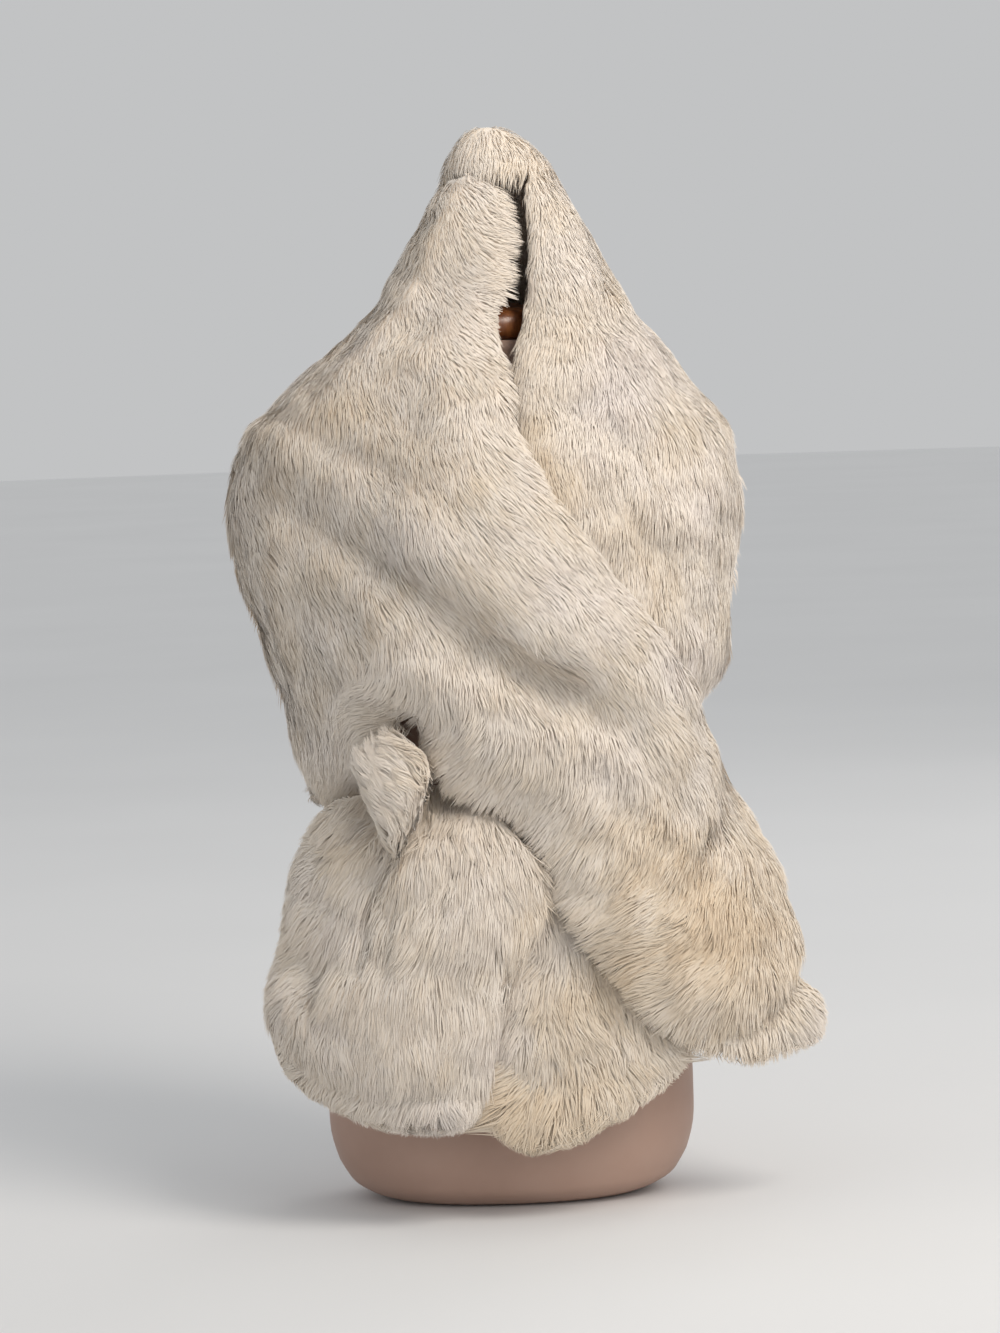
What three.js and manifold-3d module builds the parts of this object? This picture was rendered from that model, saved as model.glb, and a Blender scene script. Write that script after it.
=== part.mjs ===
// Fur pull-through wrap on a limbless torso form, in millimetres, +Z up.
// The origin is the middle of the form's flat underside. The front faces -Y, +X is the viewer's right.
// The wrap is one long fur stole. Each stretch of it that shows is a solid of its own.

import * as THREE from "three";
import Module from "manifold-3d";

const wasm = await Module();
wasm.setup();

// Driving dimensions of the stole
const PILE = 12; // reach of the laid fur on one face
const WALL = 2 * PILE; // two fur faces, back to back
const NOSE = 2.5; // half of the blunt nose that is left at a rounded edge
const LAYER = WALL + 7; // how far a stretch stands out where it lies on another one
const SEAM_GAP = 0.3; // between stretches that are one cloth
const TUCK_GAP = 0.5; // left round a stretch where a neighbour is cut back for it
const SEAM_TURN = 90; // degrees from the front, where the front stretches meet the back
const CAP_Z = 818; // underside of the closed peak
const CAP_SEAM_Z = 805; // an upper edge that reaches above this is cut square, to meet the peak
const PEAK_Z = 852;
const PEAK_OVERLAP = 8; // how far the back wall runs up into the closed peak, which it is one with

// How the over stretch steps up onto the under stretch that it crosses: the length of the step at the
// chest and at the slit, and where it starts down from the neck
const CROSSING_Z = 660;
const CHEST_STEP = { z: 460, run: 105 };
const SLIT_STEP = { z: 345, run: 36 };
const NECK_STEP = { z: 700, full_z: 630 };

// How the through end comes out of the slit, and the lobe left of the slit that lies on the over stretch
const SLIT_OUT = { z: 344, full_z: 308 };
const LOBE = { x: -84, run: 16 };
const LOWER_SEAT = LAYER - WALL + 1.3; // brings the lower lip of the slit up against what lies on it
const CORNER_LIFT = { z: 392, at_top: 39.4, rise: 22.9, run: 75 }; // the folded corner, over the through end

// Mesh steps
const STEPS = 2; // from one table row to the next
const BACK_ROWS = 12; // up the back stretch
const PEAK_SIDES = 32;

// Driving dimensions of the form and its turned wood top
const FORM_TOP_Z = 686;
const FORM_SIDES = 40;
const FORM_ROUNDNESS = 2.2; // exponent of the form's superellipse sections
const WOOD_SIDES = 28;
const NECK_FLATNESS = 0.92; // depth over width of the neck and its wood top

// The bell that the innermost layer of cloth fills, by height: where its middle is, half its width, and
// its depth in front and behind. Past leave_left and leave_right degrees a stretch leaves the bell straight.
const BELL = [
  { z: 852, centre: 5, half: 7, front: 8, back: 8, leave_left: 90, leave_right: 90 },
  { z: 845, centre: 7, half: 19, front: 17, back: 18, leave_left: 90, leave_right: 90 },
  { z: 835, centre: 11, half: 31, front: 27, back: 29, leave_left: 90, leave_right: 90 },
  { z: 820, centre: 13, half: 42, front: 38, back: 41, leave_left: 90, leave_right: 90 },
  { z: 800, centre: 15, half: 51, front: 47, back: 52, leave_left: 90, leave_right: 90 },
  { z: 780, centre: 15, half: 64, front: 56, back: 61, leave_left: 90, leave_right: 90 },
  { z: 740, centre: 15, half: 84, front: 71, back: 77, leave_left: 90, leave_right: 90 },
  { z: 700, centre: 15, half: 106, front: 86, back: 93, leave_left: 90, leave_right: 90 },
  { z: 660, centre: 6, half: 144, front: 101, back: 110, leave_left: 90, leave_right: 90 },
  { z: 620, centre: -2, half: 187, front: 116, back: 124, leave_left: 90, leave_right: 90 },
  { z: 580, centre: -5, half: 205, front: 128, back: 133, leave_left: 90, leave_right: 90 },
  { z: 540, centre: -3, half: 206, front: 134, back: 138, leave_left: 90, leave_right: 90 },
  { z: 500, centre: -5, half: 197, front: 136, back: 138, leave_left: 90, leave_right: 90 },
  { z: 460, centre: 2, half: 189, front: 134, back: 134, leave_left: 90, leave_right: 90 },
  { z: 420, centre: 5, half: 179, front: 130, back: 128, leave_left: 90, leave_right: 92 },
  { z: 380, centre: -1, half: 167, front: 126, back: 122, leave_left: 90, leave_right: 80 },
  { z: 340, centre: 0, half: 157, front: 122, back: 118, leave_left: 96, leave_right: 66 },
  { z: 300, centre: 0, half: 154, front: 121, back: 118, leave_left: 80, leave_right: 54 },
  { z: 260, centre: 0, half: 161, front: 122, back: 118, leave_left: 60, leave_right: 44 },
  { z: 220, centre: 0, half: 172, front: 124, back: 118, leave_left: 50, leave_right: 38 },
  { z: 180, centre: 0, half: 181, front: 126, back: 118, leave_left: 43, leave_right: 34 },
  { z: 120, centre: 0, half: 186, front: 128, back: 118, leave_left: 42, leave_right: 31 },
  { z: 60, centre: 0, half: 186, front: 127, back: 118, leave_left: 46, leave_right: 30 },
  { z: 30, centre: 0, half: 184, front: 125, back: 118, leave_left: 48, leave_right: 30 },
];

// Sections across each stretch, from its lower or left edge to its upper or right edge, seen from the
// front as x and z. SEAM is the line at the side where the front stretches meet the back.
const SEAM = Infinity;
const OVER_SECTIONS = [
  { low_x: -SEAM, low_z: 322, high_x: -SEAM, high_z: 811 },
  { low_x: -139, low_z: 320, high_x: -18, high_z: 811 },
  { low_x: -130, low_z: 319, high_x: 12, high_z: 810 },
  { low_x: -119, low_z: 320, high_x: 22, high_z: 788 },
  { low_x: -108, low_z: 326, high_x: 22, high_z: 752 },
  { low_x: -97, low_z: 335, high_x: 15, high_z: 716 },
  { low_x: -86, low_z: 366, high_x: 12, high_z: 684 },
  { low_x: -71, low_z: 406, high_x: 15, high_z: 652 },
  { low_x: -57, low_z: 376, high_x: 22, high_z: 618 },
  { low_x: -44, low_z: 341, high_x: 45, high_z: 573 },
  { low_x: -16, low_z: 330, high_x: 78, high_z: 527 },
  { low_x: 8, low_z: 315, high_x: 110, high_z: 484 },
  { low_x: 26, low_z: 292, high_x: 137, high_z: 446 },
  { low_x: 35, low_z: 268, high_x: 158, high_z: 398 },
  { low_x: 41, low_z: 248, high_x: 173, high_z: 344 },
  { low_x: 56, low_z: 223, high_x: 197, high_z: 298 },
  { low_x: 75, low_z: 196, high_x: 219, high_z: 254 },
  { low_x: 95, low_z: 168, high_x: 231, high_z: 212 },
  { low_x: 115, low_z: 145, high_x: 236, high_z: 180 },
  { low_x: 143, low_z: 128, high_x: 246, high_z: 156 },
  { low_x: 170, low_z: 117, high_x: 250, high_z: 139 },
  { low_x: 196, low_z: 111, high_x: 243, high_z: 124 },
];
const UNDER_SECTIONS = [
  { low_x: SEAM, low_z: 412, high_x: SEAM, high_z: 811 },
  { low_x: 155, low_z: 398, high_x: 48, high_z: 811 },
  { low_x: 142, low_z: 387, high_x: 34, high_z: 810 },
  { low_x: 126, low_z: 378, high_x: 37, high_z: 788 },
  { low_x: 108, low_z: 371, high_x: 37, high_z: 752 },
  { low_x: 90, low_z: 365, high_x: 31, high_z: 716 },
  { low_x: 68, low_z: 362, high_x: 26, high_z: 684 },
  { low_x: 46, low_z: 360, high_x: 18, high_z: 652 },
  { low_x: 24, low_z: 358, high_x: 15, high_z: 616 },
  { low_x: 4, low_z: 357, high_x: -8, high_z: 576 },
  { low_x: -14, low_z: 356, high_x: -33, high_z: 528 },
  { low_x: -30, low_z: 356, high_x: -52, high_z: 474 },
  { low_x: -42, low_z: 357, high_x: -60, high_z: 424 },
  { low_x: -50, low_z: 360, high_x: -62, high_z: 388 },
];
const THROUGH_SECTIONS = [
  { low_x: -82, low_z: 344, high_x: -16, high_z: 346 },
  { low_x: -102, low_z: 342, high_x: -8, high_z: 330 },
  { low_x: -126, low_z: 334, high_x: 10, high_z: 311 },
  { low_x: -145, low_z: 311, high_x: 27, high_z: 287 },
  { low_x: -159, low_z: 281, high_x: 34, high_z: 260 },
  { low_x: -167, low_z: 243, high_x: 25, high_z: 231 },
  { low_x: -178, low_z: 206, high_x: 9, high_z: 201 },
  { low_x: -188, low_z: 174, high_x: -4, high_z: 168 },
  { low_x: -183, low_z: 143, high_x: -12, high_z: 136 },
  { low_x: -171, low_z: 115, high_x: -19, high_z: 108 },
  { low_x: -148, low_z: 90, high_x: -23, high_z: 86 },
  { low_x: -115, low_z: 72, high_x: -32, high_z: 70 },
  { low_x: -86, low_z: 63, high_x: -48, high_z: 62 },
];
const LOWER_SECTIONS = [
  { low_x: -92, low_z: 302, high_x: 10, high_z: 297 },
  { low_x: -84, low_z: 256, high_x: 46, high_z: 250 },
  { low_x: -74, low_z: 214, high_x: 78, high_z: 212 },
  { low_x: -64, low_z: 172, high_x: 108, high_z: 174 },
  { low_x: -52, low_z: 132, high_x: 134, high_z: 146 },
  { low_x: -38, low_z: 98, high_x: 141, high_z: 122 },
  { low_x: -22, low_z: 72, high_x: 118, high_z: 98 },
  { low_x: -4, low_z: 55, high_x: 82, high_z: 71 },
  { low_x: 14, low_z: 46, high_x: 50, high_z: 53 },
];
const FOLD_SECTIONS = [
  { low_x: -94, low_z: 380, high_x: -77, high_z: 388 },
  { low_x: -109, low_z: 367, high_x: -60, high_z: 377 },
  { low_x: -106, low_z: 350, high_x: -51, high_z: 359 },
  { low_x: -101, low_z: 334, high_x: -50, high_z: 341 },
  { low_x: -96, low_z: 318, high_x: -57, high_z: 322 },
  { low_x: -89, low_z: 303, high_x: -68, high_z: 304 },
  { low_x: -84, low_z: 293, high_x: -77, high_z: 293 },
];

// The back stretch, by turn from the front in degrees: the height of its hem
const BACK_HEM = [
  { turn: -90, z: 322 },
  { turn: -112, z: 342 },
  { turn: -135, z: 374 },
  { turn: -158, z: 404 },
  { turn: -180, z: 418 },
  { turn: -202, z: 420 },
  { turn: -225, z: 415 },
  { turn: -248, z: 412 },
  { turn: -270, z: 412 },
];
// How far the back swells behind the shoulders, how soon above the hem, and where it is gone at the top
const BACK_CROWN = { height: 9, reach: 50, top_z: 780, fade: 80, turn_share: 0.6 };
const PEAK_RINGS_Z = [CAP_Z, 824, 830, 836, 841, 845, 848.5, 851, PEAK_Z];

// Largest folds: the line of each trough as x and z, and its half width. A trough takes the share
// `depth` of the crown that its stretch would have there.
const OVER_FOLDS = [
  { depth: 1.0, width: 17, line: [[-165, 575], [-121, 539], [-74, 505], [-20, 459], [35, 425], [76, 402]] },
  { depth: 0.8, width: 13, line: [[113, 446], [130, 394], [150, 345], [159, 311]] },
  { depth: 0.6, width: 12, line: [[191, 322], [159, 311], [134, 282], [124, 264]] },
];
const UNDER_FOLDS = [
  { depth: 0.9, width: 16, line: [[60, 640], [100, 606], [150, 590]] },
  { depth: 0.8, width: 15, line: [[92, 540], [134, 506], [172, 480]] },
];
const THROUGH_FOLDS = [
  { depth: 0.9, width: 10, line: [[-80, 296], [-98, 274], [-104, 245], [-110, 214], [-125, 195]] },
  { depth: 0.5, width: 14, line: [[-170, 128], [-90, 108], [-30, 118]] },
];
const BACK_FOLDS = [
  { depth: 0.9, width: 18, line: [[-120, 600], [-40, 560], [50, 572], [140, 610]] },
  { depth: 0.8, width: 16, line: [[-70, 500], [10, 476], [110, 500]] },
];

// The form, by height: half its width and half its depth
const FORM = [
  { z: 0, half: 92, depth: 54 },
  { z: 3, half: 106, depth: 65 },
  { z: 10, half: 122, depth: 76 },
  { z: 25, half: 136, depth: 85 },
  { z: 45, half: 144, depth: 90 },
  { z: 85, half: 147, depth: 92 },
  { z: 130, half: 145, depth: 91 },
  { z: 200, half: 134, depth: 87 },
  { z: 270, half: 123, depth: 83 },
  { z: 320, half: 120, depth: 82 },
  { z: 380, half: 126, depth: 87 },
  { z: 440, half: 139, depth: 93 },
  { z: 500, half: 154, depth: 96 },
  { z: 545, half: 165, depth: 92 },
  { z: 575, half: 169, depth: 86 },
  { z: 600, half: 163, depth: 79 },
  { z: 620, half: 147, depth: 72 },
  { z: 640, half: 112, depth: 65 },
  { z: 655, half: 84, depth: 60 },
  { z: 668, half: 69, depth: 56 },
  { z: FORM_TOP_Z, half: 60, depth: 60 * NECK_FLATNESS },
];

// The turned wood top, as radius and height: the cap on the neck, then the finial that carries the peak
const CAP_PROFILE = [
  { r: 0, z: FORM_TOP_Z + SEAM_GAP },
  { r: 56, z: FORM_TOP_Z + SEAM_GAP },
  { r: 61, z: 690 },
  { r: 62, z: 697 },
  { r: 61, z: 704 },
  { r: 54, z: 709 },
  { r: 36, z: 712 },
  { r: 20, z: 716 },
  { r: 0, z: 716 },
];
const FINIAL_PROFILE = [
  { r: 0, z: 716 + SEAM_GAP },
  { r: 14, z: 716 + SEAM_GAP },
  { r: 9, z: 723 },
  { r: 8, z: 731 },
  { r: 13, z: 741 },
  { r: 16, z: 753 },
  { r: 13, z: 766 },
  { r: 8, z: 776 },
  { r: 6, z: 781 },
  { r: 8, z: 788 },
  { r: 8, z: 795 },
  { r: 6, z: 802 },
  { r: 4, z: 810 },
  { r: 3, z: CAP_Z - SEAM_GAP },
  { r: 0, z: CAP_Z - SEAM_GAP },
];

const radians = THREE.MathUtils.degToRad;
const clamp = THREE.MathUtils.clamp;
const ease = (t) => THREE.MathUtils.smoothstep(t, 0, 1);

// A smooth curve through (at, value) pairs, read at one place
function curveThrough(at, value, where) {
  const rising = at[1] > at[0];
  const last = at.length - 2;
  let i = at.findIndex((x, k) => k > 0 && (rising ? where <= x : where >= x)) - 1;
  if (i < 0) i = where === at[0] ? 0 : last;
  const slope = (k) => {
    const a = Math.max(k - 1, 0);
    const b = Math.min(k + 1, at.length - 1);
    return (value[b] - value[a]) / (at[b] - at[a]);
  };
  const span = at[i + 1] - at[i];
  const t = clamp((where - at[i]) / span, 0, 1);
  const t2 = t * t;
  const t3 = t2 * t;
  return (
    (2 * t3 - 3 * t2 + 1) * value[i] +
    (t3 - 2 * t2 + t) * span * slope(i) +
    (3 * t2 - 2 * t3) * value[i + 1] +
    (t3 - t2) * span * slope(i + 1)
  );
}

const column = (rows, name) => rows.map((row) => row[name]);
const BELL_Z = column(BELL, "z");
const bellAt = (name, z) => curveThrough(BELL_Z, column(BELL, name), z);

// Where a front stretch leaves the bell, in radians from the front
const leaveAt = (side, z) => radians(Math.min(90, bellAt(side < 0 ? "leave_left" : "leave_right", z)));

// A place on the bell moved `out` from it, by turn from the front in radians and height. The back
// stretch stays on the bell all the way round.
function onBell(turn, z, out, staysOn = false) {
  const side = Math.sign(turn) || 1;
  const leave = staysOn ? Infinity : leaveAt(side, z);
  const half = bellAt("half", z) + out;
  const deep = bellAt(Math.abs(turn) > Math.PI / 2 ? "back" : "front", z) + out;
  const along = Math.abs(turn);
  const past = Math.max(along - leave, 0);
  const held = along - past;
  const x = side * half * (Math.sin(held) + past * Math.cos(held));
  const y = -deep * (Math.cos(held) - past * Math.sin(held));
  return new THREE.Vector3(bellAt("centre", z) + x, y, z);
}

// The way straight out of the bell at a place on it
const TURN_NUDGE = 0.01; // radians
const HEIGHT_NUDGE = 1; // mm
function outOfBell(turn, z, out, staysOn = false) {
  const at = (turnBy, riseBy) => onBell(turn + turnBy, z + riseBy, out, staysOn);
  const beside = at(TURN_NUDGE, 0).sub(at(-TURN_NUDGE, 0));
  const above = at(0, HEIGHT_NUDGE).sub(at(0, -HEIGHT_NUDGE));
  return beside.cross(above).normalize();
}

// The turn at which the bell, moved `out`, shows at x when it is seen from the front
function turnAt(x, z, out) {
  const side = x < bellAt("centre", z) ? -1 : 1;
  if (Math.abs(x) === SEAM) return side * radians(SEAM_TURN);
  const leave = leaveAt(side, z);
  const share = Math.abs(x - bellAt("centre", z)) / (bellAt("half", z) + out);
  if (share <= Math.sin(leave) || leave > radians(89)) return side * Math.asin(Math.min(share, 1));
  return side * (leave + (share - Math.sin(leave)) / Math.cos(leave));
}

// How much of its crown a stretch keeps near the troughs of its folds
function crownLeft(folds, x, z) {
  let left = 1;
  const here = new THREE.Vector2(x, z);
  const near = new THREE.Vector2();
  const way = new THREE.Vector2();
  for (const fold of folds) {
    let nearest = Infinity;
    for (let k = 1; k < fold.line.length; k++) {
      const from = new THREE.Vector2(...fold.line[k - 1]);
      way.set(...fold.line[k]).sub(from);
      const t = clamp(near.copy(here).sub(from).dot(way) / way.lengthSq(), 0, 1);
      nearest = Math.min(nearest, from.addScaledVector(way, t).distanceTo(here));
    }
    left = Math.min(left, 1 - fold.depth * Math.exp(-((nearest / fold.width) ** 2)));
  }
  return left;
}

// Places up the back from its hem, and across a front stretch, close together near the edges
const HEM_STEPS = [0, 0.012, 0.04, 0.08];
const ACROSS = [0, 0.015, 0.05, 0.11, 0.2, 0.3, 0.4, 0.5, 0.6, 0.7, 0.8, 0.89, 0.95, 0.985, 1];

// The distance from a place to the nearest of some lines of places
function distanceTo(lines, p) {
  const near = new THREE.Vector3();
  const piece = new THREE.Line3();
  let nearest = Infinity;
  for (const line of lines) {
    for (let k = 1; k < line.length; k++) {
      piece.set(line[k - 1], line[k]).closestPointToPoint(p, true, near);
      nearest = Math.min(nearest, near.distanceTo(p));
    }
  }
  return nearest;
}

// Half the wall at a distance from a rounded edge
function halfWall(distance, wall) {
  const reach = 0.7 * wall;
  const t = clamp(distance / reach, 0, 1);
  return NOSE + (wall / 2 - NOSE) * Math.sqrt(1 - (1 - t) ** 2);
}

// A closed wall round a grid of places, each with its middle, the way out and half the wall there: faces
// outside and inside, and four edges. A wall that meets a seam stays on its own side, -1 or 1, of the
// upright plane of the seams.
function closeWall(grid, grow = 0, seamSide = 0) {
  const rows = grid.length;
  const cols = grid[0].length;
  const positions = [];
  for (const face of [1, -1]) {
    for (const { middle, way, half } of grid.flat()) {
      const p = middle.clone().addScaledVector(way, face * (half + grow));
      if (seamSide) p.y = seamSide * Math.max(seamSide * p.y, SEAM_GAP / 2);
      positions.push(p.x, p.y, p.z);
    }
  }
  const index = [];
  const outer = (j, i) => j * cols + i;
  const inner = (j, i) => rows * cols + j * cols + i;
  const quad = (a, b, c, d) => index.push(a, c, b, a, d, c);
  for (let j = 0; j < rows - 1; j++) {
    for (let i = 0; i < cols - 1; i++) {
      quad(outer(j, i), outer(j, i + 1), outer(j + 1, i + 1), outer(j + 1, i));
      quad(inner(j, i), inner(j + 1, i), inner(j + 1, i + 1), inner(j, i + 1));
    }
  }
  const last = cols - 1;
  const end = rows - 1;
  for (let i = 0; i < last; i++) {
    quad(outer(0, i), inner(0, i), inner(0, i + 1), outer(0, i + 1));
    quad(outer(end, i + 1), inner(end, i + 1), inner(end, i), outer(end, i));
  }
  for (let j = 0; j < end; j++) {
    quad(outer(j + 1, 0), inner(j + 1, 0), inner(j, 0), outer(j, 0));
    quad(outer(j, last), inner(j, last), inner(j + 1, last), outer(j + 1, last));
  }
  return asGeometry(positions, index);
}

function asGeometry(positions, index) {
  const geometry = new THREE.BufferGeometry();
  geometry.setAttribute("position", new THREE.Float32BufferAttribute(positions, 3));
  geometry.setIndex(index);
  return geometry;
}

// Mesh stations along a table, counted in rows of it
function stationsOf(rowCount) {
  const count = (rowCount - 1) * STEPS;
  return Array.from({ length: count + 1 }, (_, k) => k / STEPS);
}

// One stretch of the stole on the bell. `lift` gives how far it stands out of the innermost layer at
// x and z, `crown` how much it swells between its edges, and `start` and `end` say which ends are round.
// `leftward` marks a table that runs from the right to the left.
function stretch(spec, grow = 0) {
  const { sections, lift, crown, folds, wall = WALL, start = true, end = true, leftward = false } = spec;
  const rows = sections.map((s) => {
    const lowOut = lift(s.low_x, s.low_z) - wall / 2;
    const highOut = lift(s.high_x, s.high_z) - wall / 2;
    return {
      low_z: s.low_z,
      high_z: s.high_z,
      low: turnAt(s.low_x, s.low_z, lowOut),
      high: turnAt(s.high_x, s.high_z, highOut),
    };
  });
  const places = rows.map((_, k) => k);
  const read = (name, v) => curveThrough(places, column(rows, name), v);
  const stations = stationsOf(rows.length);
  const widest = start ? Infinity : radians(SEAM_TURN);
  const bare = stations.map((v) =>
    ACROSS.map((u) => {
      const turn = clamp(THREE.MathUtils.lerp(read("low", v), read("high", v), u), -widest, widest);
      const z = THREE.MathUtils.lerp(read("low_z", v), read("high_z", v), u);
      const x = onBell(turn, z, 0).x;
      return { x, z, turn, p: onBell(turn, z, lift(x, z) - wall / 2) };
    }),
  );
  const lowEdge = bare.map((row) => row[0].p);
  const highEdge = bare.map((row) => row.at(-1).p).filter((p) => p.z < CAP_SEAM_Z);
  const rounded = [lowEdge, highEdge];
  if (start) rounded.push(bare[0].map(({ p }) => p));
  if (end) rounded.push(bare.at(-1).map(({ p }) => p));
  const grid = bare.map((row, j) =>
    row.map(({ x, z, turn, p }) => {
      const distance = distanceTo(rounded, p);
      const facing = ease((Math.cos(turn) - crown.from) / (crown.full - crown.from));
      const swell = crown.height * ease(distance / crown.reach) * facing * crownLeft(folds, x, z);
      const way = outOfBell(turn, z, lift(x, z));
      if (!start && j === 0) way.setY(0).normalize();
      return { middle: p.clone().addScaledVector(way, swell), way, half: halfWall(distance, wall) };
    }),
  );
  if (leftward) grid.forEach((row) => row.reverse());
  return closeWall(grid, grow, start ? 0 : -1);
}

// The hidden edge of the under stretch, by height: the over stretch steps up onto it
const UNDER_EDGE = UNDER_SECTIONS.filter(({ high_z }) => high_z < CROSSING_Z);
const UNDER_EDGE_Z = column(UNDER_EDGE, "high_z");
const UNDER_EDGE_X = column(UNDER_EDGE, "high_x");
const underEdge = (z) =>
  curveThrough(UNDER_EDGE_Z, UNDER_EDGE_X, clamp(z, UNDER_EDGE_Z.at(-1), UNDER_EDGE_Z[0]));

function overLift(x, z) {
  const atChest = ease((z - SLIT_STEP.z) / (CHEST_STEP.z - SLIT_STEP.z));
  const run = THREE.MathUtils.lerp(SLIT_STEP.run, CHEST_STEP.run, atChest);
  const across = ease((x - underEdge(z) + run) / run);
  const down = ease((NECK_STEP.z - z) / (NECK_STEP.z - NECK_STEP.full_z));
  return LAYER * across * down;
}

function throughLift(x, z) {
  const out = ease((SLIT_OUT.z - z) / (SLIT_OUT.z - SLIT_OUT.full_z));
  return LAYER * Math.max(out, ease((LOBE.x - x) / LOBE.run));
}

const cornerLift = (x, z) =>
  CORNER_LIFT.at_top + CORNER_LIFT.rise * ease((CORNER_LIFT.z - z) / CORNER_LIFT.run);
const flush = () => 0;
const lowerLift = () => LOWER_SEAT;

const OVER = {
  sections: OVER_SECTIONS,
  lift: overLift,
  crown: { height: 18, reach: 56, from: 0.1, full: 0.7 },
  folds: OVER_FOLDS,
  start: false,
};
const UNDER = {
  sections: UNDER_SECTIONS,
  lift: flush,
  crown: { height: 6, reach: 40, from: 0.1, full: 0.7 },
  folds: UNDER_FOLDS,
  start: false,
  leftward: true,
};
const THROUGH = {
  sections: THROUGH_SECTIONS,
  lift: throughLift,
  crown: { height: 22, reach: 70, from: -1, full: 0 },
  folds: THROUGH_FOLDS,
};
const LOWER = {
  sections: LOWER_SECTIONS,
  lift: lowerLift,
  crown: { height: 0, reach: 50, from: -1, full: 0 },
  folds: [],
};
const FOLD = {
  sections: FOLD_SECTIONS,
  lift: cornerLift,
  crown: { height: 4, reach: 20, from: -1, full: 0 },
  folds: [],
  wall: 0.75 * WALL,
};

function asSolid(geometry) {
  return new wasm.Manifold(
    new wasm.Mesh({
      numProp: 3,
      vertProperties: new Float32Array(geometry.getAttribute("position").array),
      triVerts: new Uint32Array(geometry.getIndex().array),
    }),
  );
}

function fromSolid(solid) {
  const mesh = solid.getMesh();
  return asGeometry(Array.from(mesh.vertProperties), Array.from(mesh.triVerts));
}

// A stretch cut back round the neighbours that press into it
function trimmed(spec, neighbours) {
  let solid = asSolid(stretch(spec));
  for (const neighbour of neighbours) solid = solid.subtract(asSolid(stretch(neighbour, TUCK_GAP)));
  return fromSolid(solid);
}

// A closed loft through rings of places, with a flat face at each end
function loft(rings) {
  const sides = rings[0].length;
  const positions = [];
  for (const ring of rings) {
    for (const p of ring) positions.push(p.x, p.y, p.z);
  }
  const index = [];
  for (let j = 0; j < rings.length - 1; j++) {
    for (let i = 0; i < sides; i++) {
      const a = j * sides + i;
      const b = j * sides + ((i + 1) % sides);
      index.push(a, b, b + sides, a, b + sides, a + sides);
    }
  }
  const top = (rings.length - 1) * sides;
  for (let i = 1; i < sides - 1; i++) {
    index.push(0, i + 1, i);
    index.push(top, top + i, top + i + 1);
  }
  return asGeometry(positions, index);
}

// The back of the wrap: a wall from seam to seam, and the closed peak over the finial
function backStretch() {
  const stations = stationsOf(BACK_HEM.length);
  const places = BACK_HEM.map((_, k) => k);
  const top = CAP_Z + PEAK_OVERLAP;
  const evenSteps = Array.from({ length: BACK_ROWS }, (_, k) => (k + 1) / BACK_ROWS);
  const upSteps = [...HEM_STEPS, ...evenSteps.map((t) => THREE.MathUtils.lerp(HEM_STEPS.at(-1), 1, t))];
  const grid = stations.map((v) => {
    const turn = radians(curveThrough(places, column(BACK_HEM, "turn"), v));
    const hem = curveThrough(places, column(BACK_HEM, "z"), v);
    return upSteps.map((u) => {
      const z = THREE.MathUtils.lerp(hem, top, u);
      const x = onBell(turn, z, 0, true).x;
      const upAndDown = ease((z - hem) / BACK_CROWN.reach) * ease((BACK_CROWN.top_z - z) / BACK_CROWN.fade);
      const crown = BACK_CROWN.height * upAndDown * ease(-Math.cos(turn) / BACK_CROWN.turn_share);
      const middle = onBell(turn, z, crown * crownLeft(BACK_FOLDS, x, z) - WALL / 2, true);
      return { middle, way: outOfBell(turn, z, 0, true), half: halfWall(z - hem, WALL) };
    });
  });
  for (const seam of [grid[0], grid.at(-1)]) seam.forEach(({ way }) => way.setY(0).normalize());
  grid.reverse();
  const wall = closeWall(grid, 0, 1);
  const rings = PEAK_RINGS_Z.map((z) =>
    Array.from({ length: PEAK_SIDES }, (_, k) => onBell(radians((k * 360) / PEAK_SIDES - 180), z, 0, true)),
  );
  return fromSolid(asSolid(wall).add(asSolid(loft(rings))));
}

function formTorso() {
  const power = 2 / FORM_ROUNDNESS;
  const rings = FORM.map(({ z, half, depth }) =>
    Array.from({ length: FORM_SIDES }, (_, k) => {
      const turn = (k * 2 * Math.PI) / FORM_SIDES;
      const c = Math.cos(turn);
      const s = Math.sin(turn);
      return new THREE.Vector3(
        half * Math.sign(c) * Math.abs(c) ** power,
        depth * Math.sign(s) * Math.abs(s) ** power,
        z,
      );
    }),
  );
  return loft(rings);
}

function turnedWood(profile) {
  const points = profile.map(({ r, z }) => new THREE.Vector2(r, z));
  const geometry = new THREE.LatheGeometry(points, WOOD_SIDES);
  geometry.rotateX(Math.PI / 2);
  geometry.scale(1, NECK_FLATNESS, 1);
  return geometry;
}

const fur = (color) => new THREE.MeshStandardMaterial({ color, roughness: 0.95, metalness: 0 });
const materials = {
  fur: fur(0xe0ccbe),
  furShaded: fur(0xc8b49c),
  form: new THREE.MeshStandardMaterial({ color: 0xa48c84, roughness: 0.55, metalness: 0 }),
  wood: new THREE.MeshStandardMaterial({ color: 0x8a4f24, roughness: 0.45, metalness: 0 }),
};

const group = new THREE.Group();
function place(name, geometry, material) {
  const mesh = new THREE.Mesh(geometry, material);
  mesh.name = name;
  group.add(mesh);
}

place("form_torso", formTorso(), materials.form);
place("form_neck_cap", turnedWood(CAP_PROFILE), materials.wood);
place("form_finial", turnedWood(FINIAL_PROFILE), materials.wood);
place("collar_back", backStretch(), materials.fur);
place("over_front", stretch(OVER), materials.fur);
place("under_front", stretch(UNDER), materials.fur);
place("through_end", trimmed(THROUGH, [OVER]), materials.fur);
place("over_lower", stretch(LOWER), materials.furShaded);
place("through_fold", trimmed(FOLD, [OVER, THROUGH]), materials.fur);

export default group;
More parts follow.
